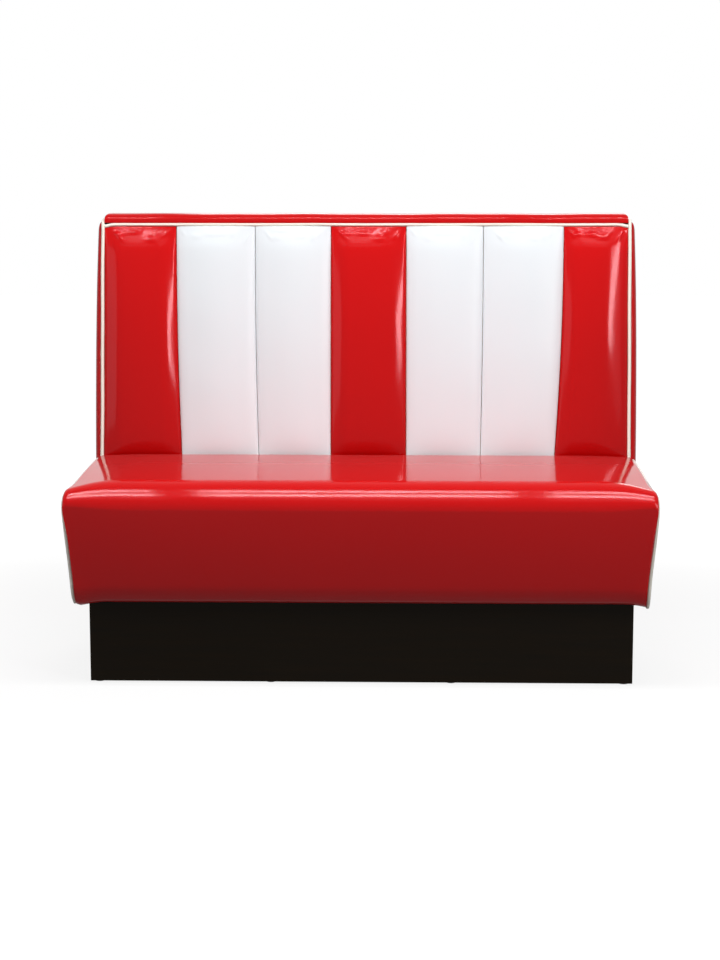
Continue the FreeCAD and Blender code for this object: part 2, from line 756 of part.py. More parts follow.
def cover_wire(side, inset, edge, drop, nose):
    """Thin section of the seat cover: outer profile, turned-under foot, inner profile."""
    def spot(depth, height):
        reach = end_x(height) - places.piping_radius - sizes.soft_clearance - places.soft_half
        overhang = reach * (1 - inset / edge) if inset < edge else edge - inset
        return FreeCAD.Vector(side * (places.soft_half + overhang), depth, height)

    skin = sizes.cover_thickness
    outer, rises = seat_chain(drop, nose, 0)
    inner, inner_rises = seat_chain(drop, nose, skin)
    turned = front_foot() + sizes.cover_return
    hem = [outer[-1], (turned, sizes.underside_height), (turned, sizes.underside_height + skin), inner[-1]]
    edges = chain_edges(outer, rises, spot)
    edges += chain_edges(hem, (None, None, None), spot)
    back_rises = [rise and -rise for rise in reversed(inner_rises)]
    edges += chain_edges(inner[::-1], back_rises, spot, HIDDEN_CHORDS[::-1])
    edges.append(line(spot(*inner[0]), spot(*outer[0])))
    return closed_wire(edges)


def foam_wire(side, inset, edge, drop, nose):
    """Section of the seat foam: block on the deck and pad down the front."""
    across = side * (places.soft_half + edge - inset)

    def spot(depth, height):
        return FreeCAD.Vector(across, depth, height)

    skin = sizes.cover_thickness + sizes.soft_clearance
    outer, rises = seat_chain(drop, nose, skin)
    outer[0] = (outer[0][0], places.step_height)
    clear = sizes.soft_clearance
    deck_front = rail_front(places.deck_top) - clear
    rail_foot = rail_front(outer[-1][1]) - clear
    inside = [outer[-1], (rail_foot, outer[-1][1]), (deck_front, places.deck_top),
              (places.seat_rear_clear, places.deck_top), (places.seat_rear_clear, places.step_height),
              outer[0]]
    edges = chain_edges(outer, rises, spot, HIDDEN_CHORDS)
    edges += chain_edges(inside, (None,) * len(inside), spot)
    return closed_wire(edges)


def rail_front(height):
    """Front of the seat frame at a height, as a number."""
    fall = places.seat_end_height - sizes.end_nose_radius - height
    return places.lean_share * fall + sizes.cover_thickness + sizes.front_pad


def make_seat_upholstery():
    edge, stations = seat_stations()
    right = [station for station in reversed(stations)]
    cover = [cover_wire(-1, inset, edge, drop, nose) for inset, drop, nose in stations]
    cover += [cover_wire(1, inset, edge, drop, nose) for inset, drop, nose in right]
    keep_shape("seat_cover", ruled_loft(cover))
    inner = [station for station in stations if station[0] >= edge]
    foam = [foam_wire(-1, inset, edge, drop, nose) for inset, drop, nose in inner]
    foam += [foam_wire(1, inset, edge, drop, nose) for inset, drop, nose in reversed(inner)]
    keep_shape("seat_foam", ruled_loft(foam))


# Padded end panels and their piping

def offset_corners(corners, insets):
    """Corners of a closed outline after each side has moved in by its own inset."""
    count = len(corners)
    moved = []
    for index in range(count):
        start = corners[index]
        stop = corners[(index + 1) % count]
        length = math.hypot(stop[0] - start[0], stop[1] - start[1])
        way = ((stop[0] - start[0]) / length, (stop[1] - start[1]) / length)
        inset = insets[index]
        moved.append(((start[0] - way[1] * inset, start[1] + way[0] * inset), way))
    result = []
    for index in range(count):
        (first, along), (second, other) = moved[index - 1], moved[index]
        turn = along[0] * other[1] - along[1] * other[0]
        gap = (second[0] - first[0], second[1] - first[1])
        step = (gap[0] * other[1] - gap[1] * other[0]) / turn
        result.append((first[0] + along[0] * step, first[1] + along[1] * step))
    return result


def rounded_chain(corners, radii, closed):
    """Points and rises of straight runs joined by arcs at the corners that have a radius."""
    count = len(corners)
    points, arcs = [], []
    for index, corner in enumerate(corners):
        radius = radii[index]
        ends_path = not closed and index in (0, count - 1)
        if ends_path or radius is None:
            points.append(corner)
            arcs.append(None)
            continue
        before = corners[index - 1]
        after = corners[(index + 1) % count]
        ways = []
        for other in (before, after):
            length = math.hypot(other[0] - corner[0], other[1] - corner[1])
            ways.append(((other[0] - corner[0]) / length, (other[1] - corner[1]) / length))
        opening = math.acos(ways[0][0] * ways[1][0] + ways[0][1] * ways[1][1])
        cut = radius / math.tan(opening / 2)
        first = (corner[0] + ways[0][0] * cut, corner[1] + ways[0][1] * cut)
        second = (corner[0] + ways[1][0] * cut, corner[1] + ways[1][1] * cut)
        centre_way = (ways[0][0] + ways[1][0], ways[0][1] + ways[1][1])
        scale = math.hypot(*centre_way)
        reach = radius / math.sin(opening / 2) - radius
        middle = (corner[0] + centre_way[0] / scale * reach, corner[1] + centre_way[1] / scale * reach)
        points.append(first)
        arcs.append((middle, second))
    return points, arcs


def rounded_edges(corners, radii, spot, closed):
    points, arcs = rounded_chain(corners, radii, closed)
    edges = []
    count = len(points)
    for index in range(count if closed else count - 1):
        start = points[index]
        if arcs[index]:
            middle, stop = arcs[index]
            edges.append(arc(spot(*start), spot(*middle), spot(*stop)))
            start = stop
        edges.append(line(spot(*start), spot(*points[(index + 1) % count])))
    return edges


def puffed_panel(side, outline, radii, rim_x, crest_x, base_x, puff):
    """A padded panel: flat base, upright rim, and a face that swells to its crest."""
    wires = []
    for inset, x_of in [(0, base_x)] + puff_steps(rim_x, crest_x, puff):
        corners = offset_corners(outline, [inset] * len(outline))

        def spot(depth, height, x_of=x_of):
            return FreeCAD.Vector(side * x_of(height), depth, height)

        wires.append(closed_wire(rounded_edges(corners, radii, spot, True)))
    return ruled_loft(wires)


def puff_steps(rim_x, crest_x, puff):
    steps = []
    for out_share, in_share in PUFF_SHARES:
        def x_of(height, share=out_share):
            return rim_x(height) + (crest_x(height) - rim_x(height)) * share
        steps.append((puff * in_share, x_of))
    return steps


def cord_along(edges):
    """Piping swept along a path, checked against its section times its length."""
    path = Part.Wire(edges)
    start = path.Edges[0]
    centre = start.valueAt(start.FirstParameter)
    way = start.tangentAt(start.FirstParameter)
    circle = Part.makeCircle(places.piping_radius, centre, way)
    section = Part.makePolygon(circle.discretize(PIPING_SIDES + 1))
    cord = path.makePipeShell([section], True, False)
    expected = Part.Face(section).Area * path.Length
    if abs(cord.Volume - expected) > expected * ALLOWED_VOLUME_SHARE:
        raise RuntimeError("piping volume is off")
    return cord


# Flats round the piping
PIPING_SIDES = 12

# Allowed difference between a cord's volume and its section times its length
ALLOWED_VOLUME_SHARE = 0.02


def seat_piping_corners():
    """The seat's end piping: up the front, round the nose and back to the rear."""
    radius = places.piping_radius
    top = places.seat_edge_height - radius
    low = sizes.underside_height
    fall_line = places.seat_end_height - sizes.end_nose_radius
    front_low = front_foot() + radius
    front_top = radius + places.lean_share * (fall_line - top)
    return [(front_low, low), (front_top, top), (places.seat_rear_clear, top)]


def make_seat_ends():
    radius = places.piping_radius
    clear = radius + sizes.soft_clearance
    corners = seat_piping_corners()
    nose = sizes.end_nose_radius - radius
    low = sizes.underside_height
    closed = [corners[0], (places.seat_rear_clear, low), corners[2], corners[1]]
    hem = sizes.cover_thickness + sizes.soft_clearance
    outline = offset_corners(closed, [hem, 0, clear, clear])
    radii = [None, None, None, nose - sizes.soft_clearance]
    lean = math.radians(sizes.end_lean_angle)
    for label, side in (("left", -1), ("right", 1)):
        panel = puffed_panel(side, outline, radii, end_x, end_crest, frame_side, sizes.seat_puff_reach)
        keep_shape(f"seat_{label}_end_panel", panel)
        pivot = FreeCAD.Vector(side * end_x(low), 0, low)

        def spot(depth, height):
            return FreeCAD.Vector(0, depth, (height - low) / math.cos(lean))

        edges = rounded_edges(corners, [None, nose, None], spot, False)
        cord = cord_along(edges)
        keep_shape(f"seat_{label}_piping", cord, side * sizes.end_lean_angle, pivot)


def end_crest(height):
    return end_x(height) + places.piping_radius


def frame_side(height):
    return places.frame_half


def seam_line(height):
    """Depth of the raked seam plane at a height, as a number."""
    rake = math.tan(math.radians(sizes.rake_angle))
    return sizes.seat_depth + (height - sizes.seat_height) * rake


def back_rounding(narrow):
    """Puff reach and corner radius of a back end panel, no more than its narrow top can hold."""
    reach = min(sizes.back_puff_reach, narrow * PUFF_WALL_SHARE)
    corner = min(sizes.panel_corner_radius, (narrow - 2 * reach) * CORNER_WALL_SHARE)
    return reach, corner


# Most of a panel's width that its puff, and of its crest that a corner, may take
PUFF_WALL_SHARE = 0.3
CORNER_WALL_SHARE = 0.6


def make_back_ends():
    radius = places.piping_radius
    clear = radius + sizes.soft_clearance
    top = places.panel_top - radius
    low = sizes.underside_height
    rear = sizes.overall_depth - radius
    reach, bend = back_rounding(rear - seam_line(top) - 2 * clear)
    front = places.joint_plane + sizes.soft_clearance
    rake = math.tan(math.radians(sizes.rake_angle))
    knee = sizes.seat_height + (front - sizes.seat_depth) / rake
    cord_foot = places.seat_edge_height - radius
    corners = [(seam_line(cord_foot), cord_foot), (seam_line(top), top), (rear, top), (rear, low)]
    closed = [(front, low), (rear, low), (rear, top), (seam_line(top), top), (seam_line(knee), knee)]
    outline = offset_corners(closed, [0, clear, clear, clear, 0])
    radii = [None, None, bend - clear, bend - clear, None]
    for label, side in (("left", -1), ("right", 1)):
        panel = puffed_panel(side, outline, radii, back_rim, back_crest, frame_side, reach)
        keep_shape(f"back_{label}_end_panel", panel)
        across = side * (places.frame_half + radius)

        def spot(depth, height):
            return FreeCAD.Vector(across, depth, height)

        edges = rounded_edges(corners, [None, bend, bend, None], spot, False)
        keep_shape(f"back_{label}_piping", cord_along(edges))


def back_rim(height):
    return places.frame_half + sizes.panel_edge


def back_crest(height):
    return places.half_width


# Fluted back

def rake_spot(across, along, out):
    """A point given across the back, up its slope from the seat, and out of its seam plane."""
    rake = math.radians(sizes.rake_angle)
    depth = sizes.seat_depth + along * math.sin(rake) - out * math.cos(rake)
    height = sizes.seat_height + along * math.cos(rake) + out * math.sin(rake)
    return FreeCAD.Vector(across, depth, height)


def slope_reach():
    """Foot and head of the flutes, up the slope from the seat's height."""
    rake = math.radians(sizes.rake_angle)
    base_fall = sizes.channel_base * math.sin(rake)
    foot = (places.step_height + sizes.soft_clearance + base_fall - sizes.seat_height) / math.cos(rake)
    head_height = places.frame_top - sizes.piping_diameter - sizes.soft_clearance
    crest_rise = sizes.channel_crown * CROWN_SHARES[-1][1] * math.sin(rake)
    head = (head_height - crest_rise - sizes.seat_height) / math.cos(rake)
    return foot, head


def channel(index):
    """One stuffed flute: flat base, sides at its seams, and a crown that fades at both ends."""
    foot, head = slope_reach()
    half_seam = sizes.channel_seam / 2
    width = 2 * places.soft_half
    wires = []
    for height_share, crown_share in CROWN_SHARES:
        along = foot + (head - foot) * height_share
        sides = []
        for number, shift in ((index, half_seam), (index + 1, -half_seam)):
            low = SEAM_BOTTOM_SHARES[number]
            high = SEAM_TOP_SHARES[number]
            share = low + (high - low) * height_share
            sides.append(width * share - places.soft_half + shift)
        left, right = sides
        base = -sizes.channel_base
        crest = rake_spot((left + right) / 2, along, sizes.channel_crown * crown_share)
        corners = [rake_spot(left, along, base), rake_spot(right, along, base),
                   rake_spot(right, along, 0), rake_spot(left, along, 0)]
        crown = arc(corners[2], crest, corners[3]).discretize(CROWN_CHORDS + 1)
        wires.append(Part.makePolygon(corners[:2] + crown + corners[:1]))
    return ruled_loft(wires)


def make_channels():
    for index in range(len(SEAM_TOP_SHARES) - 1):
        keep_shape(f"back_channel_{index + 1}", channel(index))


def shoulder_bow(start, stop):
    """Rise of an arc that leaves one of its ends upright."""
    across = abs(stop[0] - start[0])
    up = abs(stop[1] - start[1])
    return math.hypot(across, up) / 2 * math.tan(math.atan2(across, up) / 2)


def roll_wire(across, drop):
    """Section of the top roll, lowered by a drop where its end rounds off."""
    base = places.frame_top
    top = sizes.overall_height - sizes.roll_crown - drop
    front = seam_line(base) - places.piping_radius
    rear = sizes.overall_depth
    foot = base + sizes.roll_height * ROLL_FOOT_SHARE
    points = [(rear, base), (rear, foot), (rear - sizes.roll_rear_radius, top),
              (front + sizes.roll_front_radius, top), (front, foot), (front, base)]
    rises = (None, -shoulder_bow(points[1], points[2]), -sizes.roll_crown,
             -shoulder_bow(points[3], points[4]), None)

    def spot(depth, height):
        return FreeCAD.Vector(across, depth, height)

    edges = chain_edges(points, rises, spot)
    edges.append(line(spot(*points[-1]), spot(*points[0])))
    return closed_wire(edges)


# Height at which the top roll starts to round over, as a share of its own height
ROLL_FOOT_SHARE = 0.2


def make_top_roll():
    wires = []
    for side in (-1, 1):
        shares = ROUND_SHARES if side < 0 else tuple(reversed(ROUND_SHARES))
        for in_share, drop_share in shares:
            across = side * (places.soft_half - sizes.roll_end_radius * in_share)
            wires.append(roll_wire(across, sizes.roll_end_radius * drop_share))
    keep_shape("top_roll", ruled_loft(wires))


def make_top_piping():
    """Piping along the head of the flutes, with the flange that is sewn in under the roll."""
    radius = places.piping_radius
    height = places.frame_top - radius
    depth = seam_line(height)
    half = places.soft_half
    cord = Part.makeCylinder(radius, 2 * half, FreeCAD.Vector(-half, depth, height), FreeCAD.Vector(1, 0, 0))
    flange_depth = places.foam_front - sizes.soft_clearance
    flange = Part.makeBox(2 * half, flange_depth, sizes.cover_thickness,
                          FreeCAD.Vector(-half, depth, height - sizes.cover_thickness / 2))
    keep_shape("top_piping", cord.fuse(flange).removeSplitter())


# Build and write

def check_document():
    doc.recompute()
    for item in doc.Objects:
        if "Invalid" in item.State or "Error" in item.State:
            raise RuntimeError(f"{item.Label} failed: {item.State}")
    for piece in sub_parts:
        if piece.Shape.isNull() or not piece.Shape.isValid():
            raise RuntimeError(f"{piece.Label} has no valid shape")


def write_parts():
    os.makedirs("parts", exist_ok=True)
    for piece in sub_parts:
        piece.Shape.exportStep(f"parts/{piece.Label}.step")


make_plinth()
make_plinth_blocks()
make_glides()
make_seat_frame()
make_seat_corner_blocks()
make_back_frame()
make_bolt_row()
make_plinth_bolts()
make_seat_upholstery()
make_seat_ends()
make_back_ends()
make_channels()
make_top_roll()
make_top_piping()
check_document()
write_parts()
print(len(sub_parts), "sub-parts written")
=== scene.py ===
"""Looks of a restaurant booth bench: red and white vinyl flutes and seat on a dark laminated plinth."""
import json
import math

import bmesh
import bpy
import numpy as np
from mathutils import Matrix, Vector


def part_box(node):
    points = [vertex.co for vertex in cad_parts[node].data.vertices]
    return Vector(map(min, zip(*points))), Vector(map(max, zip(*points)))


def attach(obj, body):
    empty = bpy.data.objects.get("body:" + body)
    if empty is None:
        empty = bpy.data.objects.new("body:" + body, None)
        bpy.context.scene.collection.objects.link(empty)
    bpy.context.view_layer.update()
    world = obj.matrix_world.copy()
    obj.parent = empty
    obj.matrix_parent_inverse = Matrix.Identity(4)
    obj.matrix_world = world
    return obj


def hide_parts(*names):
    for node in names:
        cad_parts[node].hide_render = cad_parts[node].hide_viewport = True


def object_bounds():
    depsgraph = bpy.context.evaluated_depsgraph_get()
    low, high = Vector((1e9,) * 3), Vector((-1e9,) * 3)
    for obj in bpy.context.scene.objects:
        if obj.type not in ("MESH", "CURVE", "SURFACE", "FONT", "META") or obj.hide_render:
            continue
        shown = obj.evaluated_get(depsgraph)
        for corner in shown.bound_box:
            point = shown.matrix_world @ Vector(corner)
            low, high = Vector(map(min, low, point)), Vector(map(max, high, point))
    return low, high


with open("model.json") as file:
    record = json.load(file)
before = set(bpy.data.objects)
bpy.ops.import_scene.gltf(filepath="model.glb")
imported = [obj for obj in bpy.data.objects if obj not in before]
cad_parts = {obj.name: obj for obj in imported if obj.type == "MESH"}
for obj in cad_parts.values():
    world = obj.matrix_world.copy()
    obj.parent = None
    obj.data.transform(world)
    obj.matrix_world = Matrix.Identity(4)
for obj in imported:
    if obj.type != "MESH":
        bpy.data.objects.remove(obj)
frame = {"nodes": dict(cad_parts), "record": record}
cad_box = [list(corner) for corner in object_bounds()]

# Places read from the frame, in metres

HALF_WIDTH = cad_box[1][0]
FRONT = cad_box[0][1]
REAR = cad_box[1][1]
TOP = cad_box[1][2]
cover_low, cover_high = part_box("seat_cover")
roll_low, roll_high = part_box("top_roll")
UNDERSIDE = cover_low.z
SEAT_TOP = cover_high.z
SEAT_REAR = cover_high.y
FRAME_TOP = roll_low.z
SOFT_HALF = roll_high.x
FRAME_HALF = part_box("back_front_board")[1].x
DECK_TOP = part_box("seat_deck")[1].z
JOINT_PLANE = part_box("seat_rear_rail")[1].y
BACK_FOAM_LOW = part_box("back_foam")[0].z
REAR_PANEL_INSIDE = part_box("back_rear_panel")[0].y

# Sizes that the seat and the back share, in metres

SEAT_DEPTH = 0.475
RAKE = math.radians(8)
SKIN = 0.002
CLEAR = 0.0003
PIPING = 0.004

# Sizes of the seat: its rounds, crowns and falls, in metres

NOSE = 0.058
END_NOSE = 0.034
REAR_RADIUS = 0.007
EDGE_RADIUS = 0.009
SEAT_CROWN = 0.003
FRONT_CROWN = 0.003
FRONT_LEAN = 0.031
FRONT_PAD = 0.026
COVER_RETURN = 0.026
END_LEAN = math.radians(1.65)
END_DROP = 0.008
END_DROP_LENGTH = 0.11
STEP_DEPTH = 0.032

EDGE_REACH = HALF_WIDTH - 2 * PIPING - SOFT_HALF
END_HEIGHT = SEAT_TOP - SEAT_CROWN - END_DROP
EDGE_HEIGHT = END_HEIGHT - EDGE_RADIUS
LIP_HEIGHT = EDGE_HEIGHT - 2 * PIPING
STEP_HEIGHT = SEAT_TOP - STEP_DEPTH
LEAN_SHARE = FRONT_LEAN / (END_HEIGHT - END_NOSE - UNDERSIDE)


# Curves

def bow(start, stop, rise, count):
    """Points of an arc that stands off its chord, to the left of its way, without its last point."""
    start, stop = np.array(start, float), np.array(stop, float)
    chord = stop - start
    length = math.hypot(*chord)
    steps = np.linspace(0, 1, count, endpoint=False)[:, None]
    if not rise:
        return start + chord * steps
    way = chord / length
    left = np.array((-way[1], way[0]))
    half = 2 * math.atan(2 * rise / length)
    radius = length / 2 / math.sin(half)
    centre = (start + stop) / 2 + left * (rise - radius)
    turn = half * (2 * steps - 1)
    return centre + radius * (np.sin(turn) * way + np.cos(turn) * left)


def quarter_rise(radius):
    """How far a quarter round stands off the chord of half its turn."""
    return radius * (1 - math.cos(math.radians(45)))


def shoulder_bow(start, stop):
    """How far an arc stands off its chord when it leaves one end level or upright."""
    across = abs(stop[0] - start[0])
    up = abs(stop[1] - start[1])
    return math.hypot(across, up) / 2 * math.tan(math.atan2(across, up) / 2)


def chain(points, rises, counts):
    """An open line of arcs between points."""
    pieces = [bow(*step) for step in zip(points, points[1:], rises, counts)]
    return np.vstack(pieces + [np.array([points[-1]], float)])


def resampled(points, shares):
    """Points at some shares of an open line's length."""
    way = np.r_[0, np.cumsum(np.linalg.norm(np.diff(points, axis=0), axis=1))]
    return np.stack([np.interp(shares, way / way[-1], points[:, axis]) for axis in (0, 1)], axis=1)


def eased(points, rounds):
    """The same open line with its kinks softened."""
    points = points.copy()
    for _ in range(rounds):
        points[1:-1] = (points[:-2] + 2 * points[1:-1] + points[2:]) / 4
    return points


def slope_curve(slopes, count=400):
    """Places and heights of a curve that starts at 0 and falls by the slopes given at some places."""
    knots, falls = np.array(slopes, float).T
    places = np.linspace(0, knots[-1], count)
    slope = np.interp(places, knots, falls)
    steps = np.diff(places) * (slope[1:] + slope[:-1]) / 2
    return places, -np.r_[0, np.cumsum(steps)]


def smooth_step(value):
    """From 0 to 1, with a level start and end."""
    value = np.clip(value, 0, 1)
    return value * value * (3 - 2 * value)


# Waves of a ripple: their count, their turns by seed and by wave, how much shorter each is, their shift, and
# what their sum is divided by
RIPPLE_WAVES = 4
RIPPLE_SEED_TURN = 1.7
RIPPLE_WAVE_TURN = 2.4
RIPPLE_SHORTER = 0.3
RIPPLE_SHIFT = 3
RIPPLE_SPAN = 3


def ripple(first, second, seed, scale):
    """A soft unevenness between about -1 and 1, over two coordinates in metres."""
    total = 0
    for number in range(RIPPLE_WAVES):
        turn = seed * RIPPLE_SEED_TURN + number * RIPPLE_WAVE_TURN
        wave = 2 * math.pi / scale * (1 + RIPPLE_SHORTER * number)
        way = first * math.cos(turn) + second * math.sin(turn)
        total = total + np.sin(wave * way + RIPPLE_SHIFT * turn)
    return total / RIPPLE_SPAN


# Mesh makers

MERGE_DISTANCE = 0.00001
SHARP_ANGLE = math.radians(50)
TUBE_SIDES = 16


def add_mesh(name, points, faces, material):
    data = bpy.data.meshes.new(name)
    data.from_pydata([tuple(float(value) for value in point) for point in points], [], faces)
    work = bmesh.new()
    work.from_mesh(data)
    bmesh.ops.remove_doubles(work, verts=work.verts, dist=MERGE_DISTANCE)
    bmesh.ops.recalc_face_normals(work, faces=work.faces)
    work.to_mesh(data)
    work.free()
    data.polygons.foreach_set("use_smooth", [True] * len(data.polygons))
    data.set_sharp_from_angle(angle=SHARP_ANGLE)
    data.materials.append(material)
    piece = bpy.data.objects.new(name, data)
    bpy.context.scene.collection.objects.link(piece)
    return piece


def take_place(piece, slot, nodes):
    """A soft piece stands for its CAD nodes and rides on the bench's one body."""
    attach(piece, "root")
    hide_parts(*nodes)


def loft_faces(rings, size):
    """Faces between rings of as many points each, and a cap at both ends."""
    faces = []
    for ring in range(rings - 1):
        for spot in range(size):
            near = ring * size + spot
            far = ring * size + (spot + 1) % size
            faces.append((near, far, far + size, near + size))
    faces.append(tuple(range(size - 1, -1, -1)))
    faces.append(tuple((rings - 1) * size + spot for spot in range(size)))
    return faces


def loft(name, rings, material):
    """A closed skin over rings of as many points each."""
    rings = np.array(rings)
    count, size = rings.shape[:2]
    return add_mesh(name, rings.reshape(-1, 3), loft_faces(count, size), material)


def tube(name, path, radius, material):
    """A round cord along a path, with rings that don't twist."""
    path = [Vector(point) for point in path]
    ways = []
    for index in range(len(path)):
        before = path[max(index - 1, 0)]
        after = path[min(index + 1, len(path) - 1)]
        ways.append((after - before).normalized())
    across = ways[0].orthogonal().normalized()
    rings = []
    for index, (point, way) in enumerate(zip(path, ways)):
        if index:
            across = ways[index - 1].rotation_difference(way) @ across
        other = way.cross(across)
        turns = [2 * math.pi * number / TUBE_SIDES for number in range(TUBE_SIDES)]
        rings.append([point + radius * (math.cos(turn) * across + math.sin(turn) * other) for turn in turns])
    return loft(name, rings, material)


# Materials

def new_material(name):
    material = bpy.data.materials.new(name)
    material.use_nodes = True
    tree = material.node_tree
    return material, tree, tree.nodes["Principled BSDF"].inputs


def add_node(tree, kind, inputs=None, **settings):
    node = tree.nodes.new(kind)
    for key, value in settings.items():
        setattr(node, key, value)
    for key, value in (inputs or {}).items():
        if isinstance(value, bpy.types.NodeSocket):
            tree.links.new(value, node.inputs[key])
        else:
            node.inputs[key].default_value = value
    return node


def object_place(tree):
    """Where a point is on the object, in metres."""
    return add_node(tree, "ShaderNodeTexCoord").outputs["Object"]


def place_noise(tree, scale, detail, stretch=(1, 1, 1)):
    """Noise over the real place on the object, stretched along its axes."""
    mapping = add_node(tree, "ShaderNodeMapping", {"Vector": object_place(tree), "Scale": stretch})
    noise = add_node(tree, "ShaderNodeTexNoise",
                     {"Vector": mapping.outputs["Vector"], "Scale": scale, "Detail": detail})
    return noise.outputs["Fac"]


def ranged(tree, value, low, high):
    """A value between two values, at a share."""
    node = add_node(tree, "ShaderNodeMapRange", {"Value": value, "To Min": low, "To Max": high})
    return node.outputs["Result"]


def blended(tree, share, first, second):
    """A colour between two colours."""
    node = add_node(tree, "ShaderNodeMix", data_type="RGBA")
    tree.links.new(share, node.inputs["Factor"])
    for name, colour in (("A", first), ("B", second)):
        socket = [item for item in node.inputs if item.name == name and item.type == "RGBA"][0]
        socket.default_value = (*colour, 1)
    return [item for item in node.outputs if item.type == "RGBA"][0]


def bumped(tree, height, strength, distance, normal=None):
    """A normal that follows a height, over another normal if there is one."""
    inputs = {"Height": height, "Strength": strength, "Distance": distance}
    if normal:
        inputs["Normal"] = normal
    return add_node(tree, "ShaderNodeBump", inputs).outputs["Normal"]


def patterned(name, scale, detail, colours, roughness, stretch=(1, 1, 1), bump=None, ior=None, metallic=0):
    """A material whose colour, roughness and height follow one noise; bump is its strength and height."""
    material, tree, shader = new_material(name)
    pattern = place_noise(tree, scale, detail, stretch)
    tree.links.new(blended(tree, pattern, *colours), shader["Base Color"])
    tree.links.new(ranged(tree, pattern, *roughness), shader["Roughness"])
    shader["Metallic"].default_value = metallic
    if ior:
        shader["IOR"].default_value = ior
    if bump:
        tree.links.new(bumped(tree, pattern, *bump), shader["Normal"])
    return material


# Vinyl: scale and detail of the noises in its dye, gloss and swell, and scale of its embossed grain
DYE_NOISE = (3.2, 3)
GLOSS_NOISE = (14, 2)
SWELL_NOISE = (26, 2)
GRAIN_SCALE = 620

# Vinyl: height of its grain, and strength and height of its swell, in metres
GRAIN_HEIGHT = 0.0002
SWELL_STRENGTH = 0.04
SWELL_HEIGHT = 0.001

# Vinyl: roughness and tint of the haze on its topcoat
HAZE_ROUGHNESS = 0.4
HAZE_TINT = (1, 0.8, 0.82, 1)

# Heights between which the back's colour goes from its share at the seat to its share at the top, in metres:
# painted shade, darker towards the seat and lighter towards the top
PAINTED_SHADE_HEIGHTS = (0.46, 0.95)


def painted_height_shade(tree, dye, shares):
    """A colour scaled by a share that goes from the foot of the back to its top: painted shade."""
    height = add_node(tree, "ShaderNodeSeparateXYZ", {"Vector": object_place(tree)}).outputs["Z"]
    share = add_node(tree, "ShaderNodeMapRange",
                     {"Value": height, "From Min": PAINTED_SHADE_HEIGHTS[0], "From Max": PAINTED_SHADE_HEIGHTS[1],
                      "To Min": shares[0], "To Max": shares[1]}).outputs["Result"]
    return add_node(tree, "ShaderNodeVectorMath", {0: dye, "Scale": share}, operation="SCALE").outputs["Vector"]


def vinyl(name, dye, worn, gloss, grain, ior, tint=(1, 1, 1), haze=0, painted_shade=None):
    """Upholstery vinyl: a fine embossed grain under a smooth topcoat, with shade painted into its colour up the
    back when shares for it are given.
    """
    material, tree, shader = new_material(name)
    colour = blended(tree, place_noise(tree, *DYE_NOISE), dye, worn)
    tree.links.new(painted_height_shade(tree, colour, painted_shade) if painted_shade else colour, shader["Base Color"])
    tree.links.new(ranged(tree, place_noise(tree, *GLOSS_NOISE), *gloss), shader["Roughness"])
    shader["IOR"].default_value = ior
    shader["Specular Tint"].default_value = (*tint, 1)
    shader["Sheen Weight"].default_value = haze
    shader["Sheen Roughness"].default_value = HAZE_ROUGHNESS
    shader["Sheen Tint"].default_value = HAZE_TINT
    cells = add_node(tree, "ShaderNodeTexVoronoi", {"Vector": object_place(tree), "Scale": GRAIN_SCALE})
    fine = bumped(tree, cells.outputs["Distance"], grain, GRAIN_HEIGHT)
    swell = place_noise(tree, *SWELL_NOISE)
    tree.links.new(bumped(tree, swell, SWELL_STRENGTH, SWELL_HEIGHT, fine), shader["Normal"])
    return material


RED = {"dye": (0.57, 0.0014, 0.0016), "worn": (0.53, 0.0011, 0.0012), "gloss": (0.07, 0.12), "grain": 0.03,
       "ior": 1.28, "tint": (1, 0.62, 0.67), "haze": 0.07}

red = vinyl("red_vinyl", **RED)
# The red flutes get painted shade: their colour is darker towards the seat and lighter towards the top, standing
# for how light falls down the back.
flute_red = vinyl("red_flute_vinyl", **RED, painted_shade=(0.8, 1.1))
white = vinyl("white_vinyl", dye=(0.79, 0.84, 0.87), worn=(0.76, 0.81, 0.84), gloss=(0.26, 0.36), grain=0.16,
              ior=1.32)
cream = vinyl("cream_vinyl", dye=(0.94, 0.91, 0.82), worn=(0.9, 0.86, 0.74), gloss=(0.2, 0.3), grain=0.08,
              ior=1.35)
padding = patterned("upholstery_foam", scale=420, detail=2, colours=((0.78, 0.7, 0.42), (0.9, 0.84, 0.6)),
                    roughness=(0.85, 1), bump=(0.6, 0.0008))

SLOT_MATERIALS = {
    "red_vinyl": red,
    "red_padding": red,
    "white_padding": white,
    "cream_piping": cream,
    "padding": padding,
    # Birch plywood, its grain along the bench
    "plywood": patterned("birch_plywood", scale=30, detail=6, stretch=(0.15, 1.5, 1.5),
                         colours=((0.62, 0.43, 0.25), (0.78, 0.6, 0.4)), roughness=(0.55, 0.8),
                         bump=(0.3, 0.0004)),
    # Near-black high pressure laminate with a faint printed wood grain
    "dark_laminate": patterned("dark_laminate", scale=9, detail=6, stretch=(0.5, 0.5, 7),
                               colours=((0.004, 0.003, 0.0015), (0.012, 0.007, 0.003)),
                               roughness=(0.38, 0.55), bump=(0.1, 0.0002), ior=1.16),
    # Black non-woven dust lining
    "black_lining": patterned("dust_lining", scale=900, detail=3, stretch=(1, 0.4, 1),
                              colours=((0.012, 0.012, 0.013), (0.04, 0.04, 0.042)), roughness=(0.8, 1),
                              bump=(0.5, 0.0003)),
    "zinc_steel": patterned("zinc_plated_steel", scale=160, detail=3,
                            colours=((0.5, 0.51, 0.53), (0.68, 0.69, 0.7)), roughness=(0.25, 0.45),
                            metallic=1),
    # Black moulded plastic of the glides
    "glide_plastic": patterned("glide_plastic", scale=240, detail=3,
                               colours=((0.02, 0.02, 0.02), (0.05, 0.05, 0.05)), roughness=(0.4, 0.6)),
}


